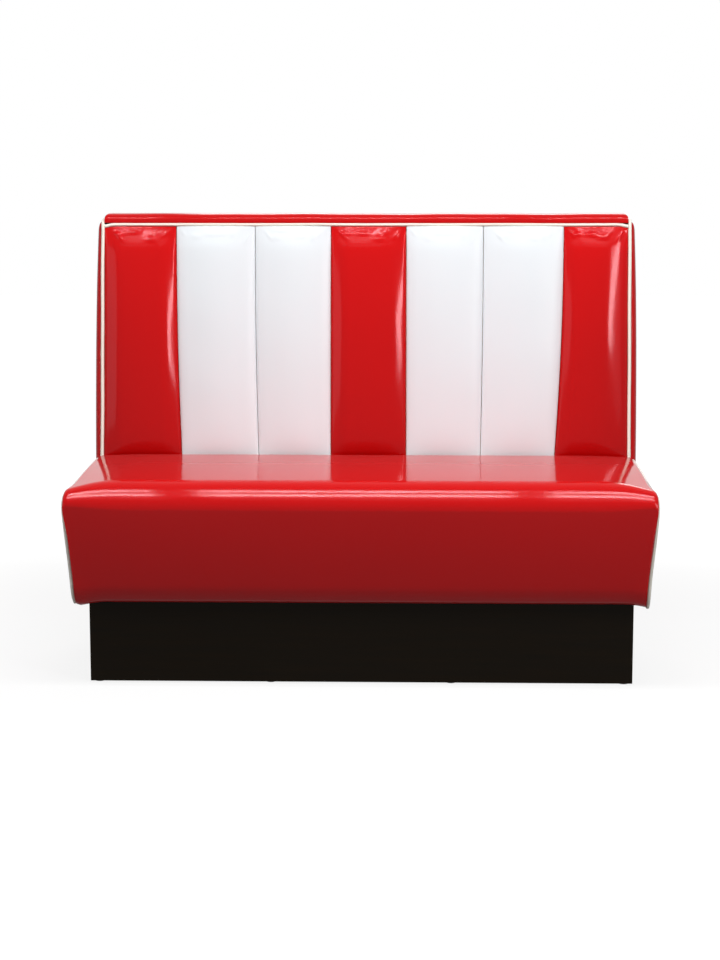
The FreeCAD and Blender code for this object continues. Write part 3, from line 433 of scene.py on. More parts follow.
def finish_nodes():
    """Every CAD node takes the material of its slot."""
    for row in frame["record"]["subparts"]:
        node = frame["nodes"][row["node"]]
        material = SLOT_MATERIALS[row["material_slot"]]
        if not node.material_slots:
            node.data.materials.append(material)
        for slot in node.material_slots:
            slot.material = material


# Lines of the seat

# The seat's nose: how slack its curve is at a turn in degrees, with two flatter places where the stuffing pulls
NOSE_SLACK = ((0, 0.9), (30, 1), (46, 1), (46.9, 1.2), (47.1, 8), (47.85, 8), (48.1, 1.4), (50.5, 1.4),
              (50.75, 8), (51.5, 8), (51.9, 1.2), (53, 1), (90, 0.9))
NOSE_TURNS = np.linspace(0, 90, 721)

# How often the seat's line is eased, and counts of points: round the outer and the inner nose, and over the
# rear lip, its round, the top and the front
SEAT_EASING = 2
OUTER_NOSE_COUNT = 120
INNER_NOSE_COUNT = 40
SEAT_COUNTS = (3, 8, 60)
FACE_COUNT = 60

# Shares of the points down the seat's front, closer together at its foot
FOOT_START = 0.93
FACE_SHARES = np.r_[np.linspace(0, FOOT_START, 48, endpoint=False), np.linspace(FOOT_START, 1, 14)]


def nose_curve(start, stop, count):
    """Points from a level start to an upright end, without the last one."""
    slack = np.interp(NOSE_TURNS, *np.array(NOSE_SLACK, float).T)
    middle = np.radians((NOSE_TURNS[1:] + NOSE_TURNS[:-1]) / 2)
    mean = (slack[1:] + slack[:-1]) / 2
    run = np.r_[0, np.cumsum(mean * np.cos(middle))]
    fall = np.r_[0, np.cumsum(mean * np.sin(middle))]
    way = np.r_[0, np.cumsum(mean)]
    places = np.linspace(0, way[-1], count, endpoint=False)
    share = np.stack((np.interp(places, way, run / run[-1]), np.interp(places, way, fall / fall[-1])), axis=1)
    return np.array(start) + (np.array(stop) - np.array(start)) * share


def end_x(height):
    """Middle of the seat's end piping at a height."""
    return HALF_WIDTH - PIPING - (END_HEIGHT - height) * math.tan(END_LEAN)


def front_x(height):
    """How far the seat's leaning front has gone back at a height."""
    return LEAN_SHARE * (END_HEIGHT - END_NOSE - height)


def seat_line(drop, nose, skin, count=INNER_NOSE_COUNT):
    """Depth and height along the seat, from its rear lip over the nose to its foot."""
    top = SEAT_TOP - SEAT_CROWN - drop
    rear = SEAT_REAR - FRONT - skin
    points = [(rear, LIP_HEIGHT), (rear, top - REAR_RADIUS), (rear + skin - REAR_RADIUS, top - skin),
              (nose, top - skin), (skin, top - nose), (front_x(UNDERSIDE) + skin, UNDERSIDE + skin)]
    rises = (0, -quarter_rise(REAR_RADIUS - skin), -SEAT_CROWN)
    back = chain(points[:4], rises, SEAT_COUNTS)[:-1]
    face = resampled(chain(points[4:], (-FRONT_CROWN,), (FACE_COUNT,)), FACE_SHARES)
    return eased(np.vstack((back, nose_curve(points[3], points[4], count), face)), SEAT_EASING)


def seat_end_shape(inset):
    """Drop of the top and radius of the nose at a place in from the cover's end."""
    share = np.clip((inset - EDGE_REACH) / END_DROP_LENGTH, 0, 1)
    round_share = np.clip(1 - inset / EDGE_REACH, 0, 1)
    drop = END_DROP * (1 - share) ** 2 + EDGE_RADIUS * (1 - math.sqrt(1 - round_share ** 2))
    return drop, END_NOSE + (NOSE - END_NOSE) * (1 - (1 - share) ** 2)


# How the seat's stuffing has settled, in metres

# At the upper corners: how far they bulge out, fall at the front and rise at the rear, and how late they fall
CORNER_BULGE = 0.006
CORNER_FRONT_FALL = 0.011
CORNER_REAR_RISE = 0.006
CORNER_FALL_POWER = 1.4

# At the foot: how far its ends tuck in and sag, the sag's length and height, and how deep settling reaches
FOOT_TUCK = 0.003
FOOT_SAG = 0.009
FOOT_SAG_LENGTH = 0.06
FOOT_SAG_HEIGHT = 0.06
SETTLED_DEPTH = 0.12

# Radius and turn of the rounds under the foot: the front's wide one, and the small one at its edge
FOOT_ROUNDS = ((0.075, 0.52), (0.009, 0.9))

# The left foot's corner: its round, how far it tucks in, and how much of the sag it takes back
FOOT_CORNER = 0.022
FOOT_CORNER_TUCK = 0.006
FOOT_CORNER_LIFT = 1.6

# The upper front corners: the height they start at, the height and depth they reach over, how far the cord and
# the pad draw in behind the cover there, and how far and over what reach the cover spreads over them
CORNER_START = 0.33
CORNER_HEIGHT = 0.07
CORNER_DEPTH = 0.09
CORNER_TUCK = 0.007
CORNER_COVER = 0.0045
CORNER_COVER_REACH = 0.03


def seat_settled(points):
    """Points of the seat's soft parts, moved as stuffing settles: full at the upper corners, low at the foot."""
    points = np.array(points, float)
    across, depth, height = points[:, 0], points[:, 1] - FRONT, points[:, 2]
    inset = np.maximum(SOFT_HALF + EDGE_REACH - np.abs(across), 0)
    near_end = (1 - np.clip(inset / END_DROP_LENGTH, 0, 1)) ** 2
    upper = smooth_step((height - UNDERSIDE) / (END_HEIGHT - UNDERSIDE))
    forward = np.clip(1 - depth / SEAT_DEPTH, 0, 1) ** CORNER_FALL_POWER
    slope = CORNER_REAR_RISE - (CORNER_REAR_RISE + CORNER_FRONT_FALL) * forward
    lower = smooth_step(1 - (height - UNDERSIDE) / FOOT_SAG_HEIGHT)
    front = smooth_step(1 - depth / SETTLED_DEPTH)
    points[:, 0] += np.sign(across) * near_end * (CORNER_BULGE * upper - FOOT_TUCK * (1 - upper)) * front
    points[:, 2] += near_end * slope * upper ** 2
    shift = 0
    for radius, turn in FOOT_ROUNDS:
        low = np.clip(turn - (height - UNDERSIDE) / radius, 0, turn)
        shift = shift + radius * (1 - np.sqrt(1 - low ** 2))
    points[:, 1] += shift * (1 - smooth_step((depth - front_x(UNDERSIDE)) / COVER_RETURN))
    left = across < 0
    from_end = np.maximum(end_x(height) + PIPING - np.abs(across), 0)
    from_low = np.where(left, from_end - FOOT_CORNER, inset)
    sag = (1 - np.clip(from_low / FOOT_SAG_LENGTH, 0, 1)) ** 2
    lift = FOOT_CORNER_LIFT * np.clip(from_low / FOOT_CORNER, -1, 0) ** 2 * left
    points[:, 2] -= (sag - lift) * FOOT_SAG * lower * front
    outer = np.clip((np.abs(across) - FRAME_HALF) / (HALF_WIDTH - FRAME_HALF), 0, 1)
    under = np.clip(1 - (height - UNDERSIDE) / FOOT_CORNER, 0, 1) ** 2
    points[:, 0] += left * FOOT_CORNER_TUCK * outer * under * front
    return points


def corner_share(points):
    """1 at the upper front corner of a seat end, and 0 away from it."""
    up = smooth_step((points[:, 2] - CORNER_START) / CORNER_HEIGHT)
    return up * smooth_step(1 - (points[:, 1] - FRONT) / CORNER_DEPTH)


def tucked(points):
    """The seat's end cord and pad, drawn in behind the full corner of the cover."""
    points = seat_settled(points)
    share = corner_share(points)
    points[:, 1] += CORNER_TUCK * share
    points[:, 2] -= CORNER_TUCK / 2 * share
    return points


# Seat cover and foam

# The cover's unevenness: height, length and the reach over which it dies out at an end, in metres
COVER_RIPPLE = 0.0002
COVER_RIPPLE_SCALE = 0.7
COVER_CALM = 0.05

# Places of the foam's rings, as shares of the length over which an end drops
FOAM_SHARES = (0, 0.03, 0.15, 0.35, 0.6, 1)


def cover_ring(side, inset):
    """The cover's section at a place in from its end: outer skin, hem and inner skin."""
    drop, nose = seat_end_shape(inset)
    outer = seat_line(drop, nose, 0, OUTER_NOSE_COUNT)
    inner = seat_line(drop, nose, SKIN)
    place = side * (SOFT_HALF + EDGE_REACH - inset)
    way = np.gradient(outer, axis=0)
    way /= np.linalg.norm(way, axis=1)[:, None]
    outward = np.stack((way[:, 1], -way[:, 0]), axis=1)
    run = np.cumsum(np.r_[0, np.linalg.norm(np.diff(outer, axis=0), axis=1)])
    calm = smooth_step(inset / COVER_CALM)
    waves = ripple(place, run, seed=3, scale=COVER_RIPPLE_SCALE)
    outer = outer + outward * (waves * COVER_RIPPLE * calm)[:, None]
    foot = front_x(UNDERSIDE)
    turned = foot + COVER_RETURN
    hem = bow((foot, UNDERSIDE), (turned, UNDERSIDE), 0, 4)[1:]
    back = np.array([(turned, UNDERSIDE), (turned, UNDERSIDE + SKIN)])
    line = np.vstack((outer, hem, back, inner[::-1]))
    reach = end_x(line[:, 1]) - PIPING - CLEAR - SOFT_HALF
    over = reach * (1 - inset / EDGE_REACH) if inset < EDGE_REACH else EDGE_REACH - inset
    across = side * (SOFT_HALF + over) * np.ones(len(line))
    points = seat_settled(np.stack((across, line[:, 0] + FRONT, line[:, 1]), axis=1))
    spread = CORNER_COVER * smooth_step(1 - inset / CORNER_COVER_REACH) * corner_share(points)
    points[:, 0] += side * spread
    return points


def cover_insets():
    """Places of the cover's rings: round its edge, along its drooping end and over its middle."""
    near = EDGE_REACH * (1 - np.cos(np.linspace(0, math.pi / 2, num=9)))
    drooping = EDGE_REACH + END_DROP_LENGTH * np.linspace(0, 1, num=16)[1:]
    middle = np.linspace(drooping[-1], SOFT_HALF + EDGE_REACH, num=40)[1:]
    return np.concatenate((near, drooping, middle))


def make_seat_cover():
    insets = cover_insets()
    rings = [cover_ring(-1, inset) for inset in insets]
    rings += [cover_ring(1, inset) for inset in insets[-2::-1]]
    take_place(loft("seat_vinyl_cover", rings, red), "red_vinyl", ["seat_cover"])


def rail_front(height):
    """Depth of the front rail's face, behind the cover and its pad."""
    return front_x(height) + SKIN + FRONT_PAD


def make_seat_foam():
    rings = []
    insets = [EDGE_REACH + END_DROP_LENGTH * share for share in FOAM_SHARES]
    for side, places in ((-1, insets), (1, insets[::-1])):
        for inset in places:
            drop, nose = seat_end_shape(inset)
            outer = seat_line(drop, nose, SKIN + CLEAR)
            outer[0, 1] = STEP_HEIGHT
            rear = JOINT_PLANE - FRONT - CLEAR
            low = outer[-1, 1]
            inside = [(rail_front(low) - CLEAR, low), (rail_front(DECK_TOP) - CLEAR, DECK_TOP),
                      (rear, DECK_TOP), (rear, STEP_HEIGHT)]
            line = np.vstack((outer, inside))
            across = side * (SOFT_HALF + EDGE_REACH - inset) * np.ones(len(line))
            rings.append(seat_settled(np.stack((across, line[:, 0] + FRONT, line[:, 1]), axis=1)))
    take_place(loft("seat_foam_block", rings, padding), "padding", ["seat_foam"])


# Outlines with rounded corners, and padded panels

# Usual steps along a cord's run and a panel's side, in metres, and rings round a panel's edge and over its dome
RUN_STEP = 0.012
PANEL_STEP = 0.02
PANEL_EDGE_RINGS = 10
PANEL_DOME_RINGS = 6


def offset_corners(corners, insets):
    """Corners of a closed outline whose sides have moved in, each by its own inset."""
    count = len(corners)
    moved = []
    for index in range(count):
        start = np.array(corners[index], float)
        stop = np.array(corners[(index + 1) % count], float)
        way = (stop - start) / np.linalg.norm(stop - start)
        moved.append((start + np.array((-way[1], way[0])) * insets[index], way))
    result = []
    for index in range(count):
        (first, along), (second, other) = moved[index - 1], moved[index]
        turn = along[0] * other[1] - along[1] * other[0]
        gap = second - first
        result.append(first + along * (gap[0] * other[1] - gap[1] * other[0]) / turn)
    return result


def round_corner(before, corner, after, radius, count):
    """Points of the arc that rounds a corner."""
    before, corner, after = (np.array(point, float) for point in (before, corner, after))
    first = (before - corner) / np.linalg.norm(before - corner)
    second = (after - corner) / np.linalg.norm(after - corner)
    opening = math.acos(np.clip(first @ second, -1, 1))
    cut = radius / math.tan(opening / 2)
    centre = corner + (first + second) / np.linalg.norm(first + second) * radius / math.sin(opening / 2)
    start = corner + first * cut - centre
    stop = corner + second * cut - centre
    turn = math.acos(np.clip(start @ stop / radius ** 2, -1, 1))
    points = []
    for share in np.linspace(0, 1, count):
        mix = (math.sin((1 - share) * turn) * start + math.sin(share * turn) * stop) / math.sin(turn)
        points.append(centre + mix)
    return points


def outline(corners, radii, parts=None, closed=True, bend=9):
    """Points along straight runs, each cut into even parts, and rounded corners of some points each."""
    count = len(corners)
    spans = []
    for index, corner in enumerate(corners):
        end = not closed and index in (0, count - 1)
        if end or not radii[index]:
            spans.append([np.array(corner, float)])
        else:
            spans.append(round_corner(corners[index - 1], corner, corners[(index + 1) % count],
                                      radii[index], bend))
    points = []
    for index, span in enumerate(spans):
        points += span
        if index + 1 == count and not closed:
            break
        start, stop = span[-1], spans[(index + 1) % count][0]
        cuts = parts[index] if parts else max(int(np.linalg.norm(stop - start) / RUN_STEP), 1)
        points += [start + (stop - start) * number / cuts for number in range(1, cuts)]
    return np.array(points)


def puffed(name, corners, radii, place, reach, dome, material):
    """A padded panel: upright rim, quarter-round edge and a slightly domed face."""
    count = len(corners)
    parts = []
    for index in range(count):
        run = np.linalg.norm(np.array(corners[(index + 1) % count]) - np.array(corners[index]))
        parts.append(max(int(run / PANEL_STEP), 2))
    base = outline(corners, radii, parts)
    rings = [place(base, -1), place(base, 0)]
    for number in range(1, PANEL_EDGE_RINGS + 1):
        turn = math.pi / 2 * number / PANEL_EDGE_RINGS
        edge = outline(offset_corners(corners, [reach * (1 - math.cos(turn))] * count), radii, parts)
        rings.append(place(edge, math.sin(turn)))
    centre = edge.mean(axis=0)
    for number in range(1, PANEL_DOME_RINGS):
        scale = 1 - number / PANEL_DOME_RINGS
        rings.append(place(centre + (edge - centre) * scale, 1 + dome * (1 - scale ** 2)))
    return loft(name, rings, material)


# Seat ends

# The end pads: reach of their edge's round, their dome and the radius of their plain corners
SEAT_PUFF = 0.016
SEAT_END_DOME = 0.12
PAD_CORNER = 0.003

# The seat's end welts: how far they sway, over what length, and the count of points round their nose
SEAT_WELT_SWAY = 0.0004
SEAT_WELT_SCALE = 0.3
SEAT_WELT_BEND = 14


def seat_cord_corners():
    """Depth and height of the corners of the seat's end piping."""
    top = EDGE_HEIGHT - PIPING
    return [(front_x(UNDERSIDE) + PIPING, UNDERSIDE), (PIPING + front_x(top), top),
            (JOINT_PLANE - FRONT - CLEAR, top)]


def make_seat_ends():
    corners = seat_cord_corners()
    rear = corners[2][0]
    hem = SKIN + CLEAR
    clear = PIPING + CLEAR
    closed = [corners[0], (rear, UNDERSIDE), corners[2], corners[1]]
    panel = offset_corners(closed, [hem, 0, clear, clear])
    bend = END_NOSE - PIPING
    radii = [PAD_CORNER] * 3 + [bend - CLEAR]
    path = outline(corners, [0, bend, 0], closed=False, bend=SEAT_WELT_BEND)
    for label, side in (("left", -1), ("right", 1)):
        def place(points, out):
            rim = end_x(points[:, 1])
            across = FRAME_HALF * np.ones(len(points)) if out < 0 else rim + PIPING * out
            return tucked(np.stack((side * across, points[:, 0] + FRONT, points[:, 1]), axis=1))

        piece = puffed(f"seat_{label}_end_pad", panel, radii, place, SEAT_PUFF, SEAT_END_DOME, red)
        take_place(piece, "red_padding", [f"seat_{label}_end_panel"])
        sway = ripple(path[:, 0], path[:, 1], 5 + side, SEAT_WELT_SCALE) * SEAT_WELT_SWAY
        across = side * (end_x(path[:, 1]) + sway)
        cord = tucked(np.stack((across, path[:, 0] + FRONT, path[:, 1]), axis=1))
        take_place(tube(f"seat_{label}_welt", cord, PIPING, cream), "cream_piping", [f"seat_{label}_piping"])


# Flutes of the back

# A flute: thickness behind its seam plane, crown before it, gap at a seam, and its foot and head up the slope
FLUTE_BASE = 0.012
FLUTE_CROWN = 0.0195
FLUTE_SEAM = 0.0014
FLUTE_FOOT = (STEP_HEIGHT + CLEAR + FLUTE_BASE * math.sin(RAKE) - SEAT_TOP) / math.cos(RAKE)
FLUTE_HEAD = (FRAME_TOP - 2 * PIPING - CLEAR - SEAT_TOP) / math.cos(RAKE)

# Seams of the back, as shares of the fluted width, at the seat and at the top
SEAM_BOTTOM_SHARES = (0, 0.151, 0.298, 0.435, 0.579, 0.72, 0.86, 1)
SEAM_TOP_SHARES = (0, 0.138, 0.289, 0.434, 0.578, 0.725, 0.878, 1)
RED_FLUTES = (1, 4, 7)

# Slope of a flute's face from its crown, at 0, to its seam, at 1
SECTION = slope_curve(((0, 0), (0.45, 0.24), (0.72, 0.28), (0.8, 0.4), (0.9, 0.56), (0.96, 0.9), (1, 1.7)))

# Flutes whose stuffing leaves a flatter band along a seam: slope of that band, left and right
FLAT_BANDS = {1: (0.39, 0.46), 4: (0.45, 0.337), 7: (0.48, None)}

# A face with a flatter band: where its inner slope is reached, where the band starts and stops and how far its
# slope is off there, the slopes at the seam, and the face's whole fall
BAND_INNER = 0.5
BAND_START = 0.74
BAND_STOP = 0.93
BAND_SPREAD = 0.02
BAND_SEAM = ((0.965, 0.9), (1, 1.3))
BAND_FALL = 0.227

# Slope of a flute's face along its height, by the distance from its head and from its foot
HEAD = slope_curve(((0, 0.45), (0.004, 0.31), (0.038, 0.25), (0.056, 0.1), (0.08, 0.045), (0.18, 0.012),
                    (0.26, 0)))
FOOT = slope_curve(((0, 0.5), (0.035, 0.2), (0.06, 0.09), (0.1, 0.03), (0.2, 0.01), (0.26, 0)))

# Folds gathered under a flute's top seam: share across, lean towards the middle, start, length, height, width
FOLDS = (
    (0.07, 0.65, 0.003, 0.034, 0.0017, 0.0045),
    (0.22, 0.2, 0.012, 0.022, 0.0014, 0.01),
    (0.4, 0.05, 0.006, 0.018, 0.0011, 0.014),
    (0.63, -0.15, 0.014, 0.02, 0.0014, 0.012),
    (0.78, -0.3, 0.005, 0.03, 0.0013, 0.007),
    (0.95, -0.6, 0.003, 0.036, 0.0016, 0.005),
)

# How folds differ: turns by flute and by fold, and the most that their place, lean, start and size change
FOLD_FLUTE_TURN = 2.3
FOLD_TURN = 1.9
FOLD_PLACE_CHANGE = 0.07
FOLD_LEAN_CHANGE = 0.1
FOLD_START_CHANGE = 0.3
FOLD_SIZE_CHANGE = 0.25

# White vinyl is stiffer: its share of the folds' height. Unevenness of every flute, and its length, in metres
WHITE_SLACK = 0.5
FLUTE_RIPPLE = 0.0005
FLUTE_RIPPLE_SCALE = 0.3

# Counts of points across a flute, up its body and up its head, and the share of its height where the head starts
FLUTE_ACROSS_COUNT = 65
FLUTE_BODY_COUNT = 80
FLUTE_HEAD_COUNT = 60
FLUTE_HEAD_START = 0.86


def seam_depth(height):
    """Depth of the seam plane at a height."""
    return SEAT_DEPTH + (height - SEAT_TOP) * math.tan(RAKE)


def rake_place(across, along, out):
    """Points given across the back, up its slope from the seat, and out of its seam plane."""
    depth = FRONT + SEAT_DEPTH + along * math.sin(RAKE) - out * math.cos(RAKE)
    height = SEAT_TOP + along * math.cos(RAKE) + out * math.sin(RAKE)
    return np.stack(np.broadcast_arrays(across, depth, height), axis=-1)


def seam_place(number, up):
    """Where a seam of the back is across it, at a share of its height."""
    top = SEAM_TOP_SHARES[number]
    share = top + (SEAM_BOTTOM_SHARES[number] - top) * (1 - up) ** 2
    return (2 * share - 1) * SOFT_HALF


def banded_section(band):
    """A face with a flatter band along its seam, and the inner slope that gives it the usual fall."""
    outer = ((BAND_START, band - BAND_SPREAD), (BAND_STOP, band + BAND_SPREAD), *BAND_SEAM)
    places, slopes = np.array(((0, 0), (BAND_INNER, 0), *outer), float).T
    outer_fall = (np.diff(places) * (slopes[1:] + slopes[:-1]) / 2).sum()
    inner = (BAND_FALL - outer_fall) / (BAND_START / 2)
    return slope_curve(((0, 0), (BAND_INNER, inner), *outer))


def section_of(band, across):
    """Share of the crown that is left at a place across a flute."""
    places, falls = SECTION if band is None else banded_section(band)
    return 1 - np.interp(np.abs(across), places, falls / falls[-1])


def flute_out(index, across, up, width):
    """How far the stuffed face stands out of the seam plane."""
    height = FLUTE_HEAD - FLUTE_FOOT
    from_head, from_foot = (1 - up) * height, up * height
    left, right = (section_of(band, across) for band in FLAT_BANDS.get(index, (None, None)))
    section = np.where(across < 0, left, right)
    slack = 1 if index in RED_FLUTES else WHITE_SLACK
    head_fall = np.interp(from_head, HEAD[0], HEAD[1][-1] - HEAD[1]) * (1 + slack) / 2
    foot_fall = np.interp(from_foot, FOOT[0], FOOT[1][-1] - FOOT[1])
    pillow = 1 + (head_fall + foot_fall) / FLUTE_CROWN
    out = FLUTE_CROWN * pillow * section
    waves = ripple(across * width / 2 + index, from_foot, index, FLUTE_RIPPLE_SCALE)
    out = out + waves * FLUTE_RIPPLE * section * pillow
    for number, (share, lean, start, length, rise, thick) in enumerate(FOLDS):
        wobble = math.sin(index * FOLD_FLUTE_TURN + number * FOLD_TURN)
        size = 1 + FOLD_SIZE_CHANGE * wobble
        line = ((2 * share - 1 + FOLD_PLACE_CHANGE * wobble) * width / 2
                + (lean + FOLD_LEAN_CHANGE * wobble) * from_head)
        way = (from_head - start * (1 + FOLD_START_CHANGE * wobble)) / (length * size)
        swell = np.sin(math.pi * np.clip(way, 0, 1)) ** 2
        fold = np.exp(-((across * width / 2 - line) / thick) ** 2)
        out = out + rise * slack * size * swell * fold * np.minimum(section * 2, 1)
    return out


def make_flute(index):
    across = np.sin(np.linspace(-math.pi / 2, math.pi / 2, FLUTE_ACROSS_COUNT))[None, :]
    body = np.linspace(0, FLUTE_HEAD_START, FLUTE_BODY_COUNT)
    head = np.linspace(FLUTE_HEAD_START, 1, FLUTE_HEAD_COUNT)[1:]
    up = np.concatenate((body, head))[:, None]
    left = seam_place(index - 1, up) + FLUTE_SEAM / 2
    right = seam_place(index, up) - FLUTE_SEAM / 2
    width = right - left
    along = FLUTE_FOOT + (FLUTE_HEAD - FLUTE_FOOT) * up
    face = rake_place((left + right) / 2 + across * width / 2, along, flute_out(index, across, up, width))
    base = rake_place(np.hstack((right, left)), along, -FLUTE_BASE)
    material, slot = (flute_red, "red_padding") if index in RED_FLUTES else (white, "white_padding")
    piece = loft(f"back_flute_{index}", np.concatenate((face, base), axis=1), material)
    take_place(piece, slot, [f"back_channel_{index}"])


# Foam, ends and rear of the back

# The foam layer: thickness, how far its foot stands up, and radius of its corners and edges
FOAM_THICKNESS = 0.02
FOAM_FOOT_GAP = 0.005
SHEET_CORNER = 0.004

# The end pads: reach of their edge's round, their dome, how far their rim stands off the frame, how far in their
# face is, its bulge and how evenly that spreads, how far below the top they end, and the radii of their upper
# corners and of their knee
BACK_PUFF = 0.02
BACK_END_DOME = 0.1
BACK_RIM = 0.008
BACK_END_INSET = 0.0015
BACK_END_BULGE = 0.0065
BACK_BULGE_POWER = 2.5
BACK_END_DROP = 0.012
BACK_END_BEND = 0.014
KNEE_BEND = 0.02

# The back's end welts: how far they sway, over what length, and the count of points round a corner
BACK_WELT_SWAY = 0.0007
BACK_WELT_SCALE = 0.35
BACK_WELT_BEND = 12

# The rear panel: share of its thickness at its rim, reach of its edge's round, and its dome
REAR_RIM_SHARE = 0.3
REAR_PUFF = 0.007
REAR_DOME = 0.05


def make_back_foam():
    low = (BACK_FOAM_LOW - SEAT_TOP) / math.cos(RAKE) + FOAM_FOOT_GAP
    corners = [(-SOFT_HALF, low), (SOFT_HALF, low), (SOFT_HALF, FLUTE_HEAD), (-SOFT_HALF, FLUTE_HEAD)]

    def place(points, out):
        behind = FLUTE_BASE + CLEAR + FOAM_THICKNESS * (1 - out) / 2
        return rake_place(points[:, 0], points[:, 1], -behind)

    take_place(puffed("back_foam_layer", corners, [SHEET_CORNER] * 4, place, SHEET_CORNER, 0, padding), "padding",
               ["back_foam"])


def make_back_ends():
    top = TOP - BACK_END_DROP - PIPING
    rear = REAR - FRONT - PIPING
    front = JOINT_PLANE - FRONT + CLEAR
    knee = SEAT_TOP + (front - SEAT_DEPTH) / math.tan(RAKE)
    foot = EDGE_HEIGHT - PIPING
    clear = PIPING + CLEAR
    bend = BACK_END_BEND
    closed = [(front, UNDERSIDE), (rear, UNDERSIDE), (rear, top), (seam_depth(top), top),
              (seam_depth(knee), knee)]
    panel = offset_corners(closed, [0, clear, clear, clear, 0])
    radii = [PAD_CORNER, PAD_CORNER, bend - clear, bend - clear, KNEE_BEND]
    corners = [(seam_depth(foot), foot), (seam_depth(top), top), (rear, top), (rear, UNDERSIDE)]
    path = outline(corners, [0, bend, bend, 0], closed=False, bend=BACK_WELT_BEND)
    for label, side in (("left", -1), ("right", 1)):
        def place(points, out):
            up = 2 * (points[:, 1] - UNDERSIDE) / (top - UNDERSIDE) - 1
            middle = 1 - np.abs(up) ** BACK_BULGE_POWER
            rim = FRAME_HALF + BACK_RIM
            crest = HALF_WIDTH - BACK_END_INSET + BACK_END_BULGE * middle
            across = FRAME_HALF * np.ones(len(points)) if out < 0 else rim + (crest - rim) * out
            return np.stack((side * across, points[:, 0] + FRONT, points[:, 1]), axis=1)

        piece = puffed(f"back_{label}_end_pad", panel, radii, place, BACK_PUFF, BACK_END_DOME, red)
        take_place(piece, "red_padding", [f"back_{label}_end_panel"])
        sway = ripple(path[:, 0], path[:, 1], 9 + side, BACK_WELT_SCALE) * BACK_WELT_SWAY
        cord = np.stack((side * (FRAME_HALF + PIPING + sway), path[:, 0] + FRONT, path[:, 1]), axis=1)
        take_place(tube(f"back_{label}_welt", cord, PIPING, cream), "cream_piping", [f"back_{label}_piping"])


def make_rear_panel():
    corners = [(-FRAME_HALF, UNDERSIDE), (FRAME_HALF, UNDERSIDE), (FRAME_HALF, FRAME_TOP),
               (-FRAME_HALF, FRAME_TOP)]

    def place(points, out):
        share = 0 if out < 0 else REAR_RIM_SHARE + (1 - REAR_RIM_SHARE) * out
        depth = REAR_PANEL_INSIDE + (REAR - REAR_PANEL_INSIDE) * share
        return np.stack((points[:, 0], depth * np.ones(len(points)), points[:, 1]), axis=1)

    take_place(puffed("rear_vinyl_panel", corners, [SHEET_CORNER] * 4, place, REAR_PUFF, REAR_DOME, red),
               "red_vinyl", ["back_rear_panel"])


# Roll and welt along the top

# The roll: reach of its front, rear and end rounds, its crown, the share of its height where the rounds start,
# and counts of points round it
ROLL_FRONT = 0.015
ROLL_REAR = 0.013
ROLL_END = 0.009
ROLL_CROWN = 0.0015
ROLL_FOOT_SHARE = 0.2
ROLL_COUNTS = (2, 10, 14, 12, 4)

# The roll's puckers: their depth, their length back and up, and the reach over which they die out at an end
ROLL_RIPPLE = 0.0009
ROLL_DEPTH_SCALE = 0.26
ROLL_HEIGHT_SCALE = 0.3
ROLL_CALM = 0.03

# The top welt: how far its ends dip and over what length, and its sway and the sway's length
WELT_DIP = 0.004
WELT_DIP_LENGTH = 0.022
TOP_WELT_SWAY = 0.0004
TOP_WELT_SCALE = 0.25


def roll_line(drop):
    """Depth and height round the roll, from its rear foot over its top to its front foot."""
    top = TOP - ROLL_CROWN - drop
    front = seam_depth(FRAME_TOP) - PIPING
    rear = REAR - FRONT
    foot = FRAME_TOP + (TOP - FRAME_TOP) * ROLL_FOOT_SHARE
    points = [(rear, FRAME_TOP), (rear, foot), (rear - ROLL_REAR, top), (front + ROLL_FRONT, top),
              (front, foot), (front, FRAME_TOP)]
    rises = (0, -shoulder_bow(points[1], points[2]), -ROLL_CROWN, -shoulder_bow(points[3], points[4]), 0)
    return chain(points, rises, ROLL_COUNTS)


def make_top_roll():
    near = ROLL_END * (1 - np.cos(np.linspace(0, math.pi / 2, num=10)))
    places = np.concatenate((near, np.linspace(ROLL_END, SOFT_HALF, num=90)[1:]))
    rings = []
    for side, insets in ((-1, places), (1, places[-2::-1])):
        for inset in insets:
            across = side * (SOFT_HALF - inset)
            round_share = np.clip(1 - inset / ROLL_END, 0, 1)
            line = roll_line(ROLL_END * (1 - math.sqrt(1 - round_share ** 2)))
            lift = (line[:, 1] - FRAME_TOP) / (TOP - FRAME_TOP)
            pucker = ROLL_RIPPLE * lift * smooth_step(inset / ROLL_CALM)
            depth = line[:, 0] + ripple(across, 0, seed=4, scale=ROLL_DEPTH_SCALE) * pucker
            height = line[:, 1] + ripple(across, 0, seed=7, scale=ROLL_HEIGHT_SCALE) * pucker
            height = np.minimum(height, TOP)
            rings.append(np.stack((across * np.ones(len(line)), depth + FRONT, height), axis=1))
    take_place(loft("top_roll_pad", rings, red), "red_padding", ["top_roll"])


def make_top_welt():
    across = np.linspace(-SOFT_HALF, SOFT_HALF, num=160)
    dip = WELT_DIP * (1 - smooth_step((SOFT_HALF - np.abs(across)) / WELT_DIP_LENGTH))
    sway = ripple(across, 0, seed=2, scale=TOP_WELT_SCALE) * TOP_WELT_SWAY
    height = FRAME_TOP - PIPING - dip + sway
    path = np.stack((across, FRONT + seam_depth(height), height), axis=1)
    take_place(tube("top_welt", path, PIPING, cream), "cream_piping", ["top_piping"])


# Floor and backdrop

WHITE_RAYS = ("Is Camera Ray", "Is Glossy Ray", "Is Transmission Ray")
WHITE = (1, 1, 1, 1)
AMBIENT = 0.11

# The floor: half its side, its own tone, and the distance and level of its white near the bench and away from it
FLOOR_REACH = 14
FLOOR_TONE = 0.16
FLOOR_NEAR, FLOOR_NEAR_WHITE = 0.8, 0.84
FLOOR_FAR, FLOOR_FAR_WHITE = 2.4, 1.0


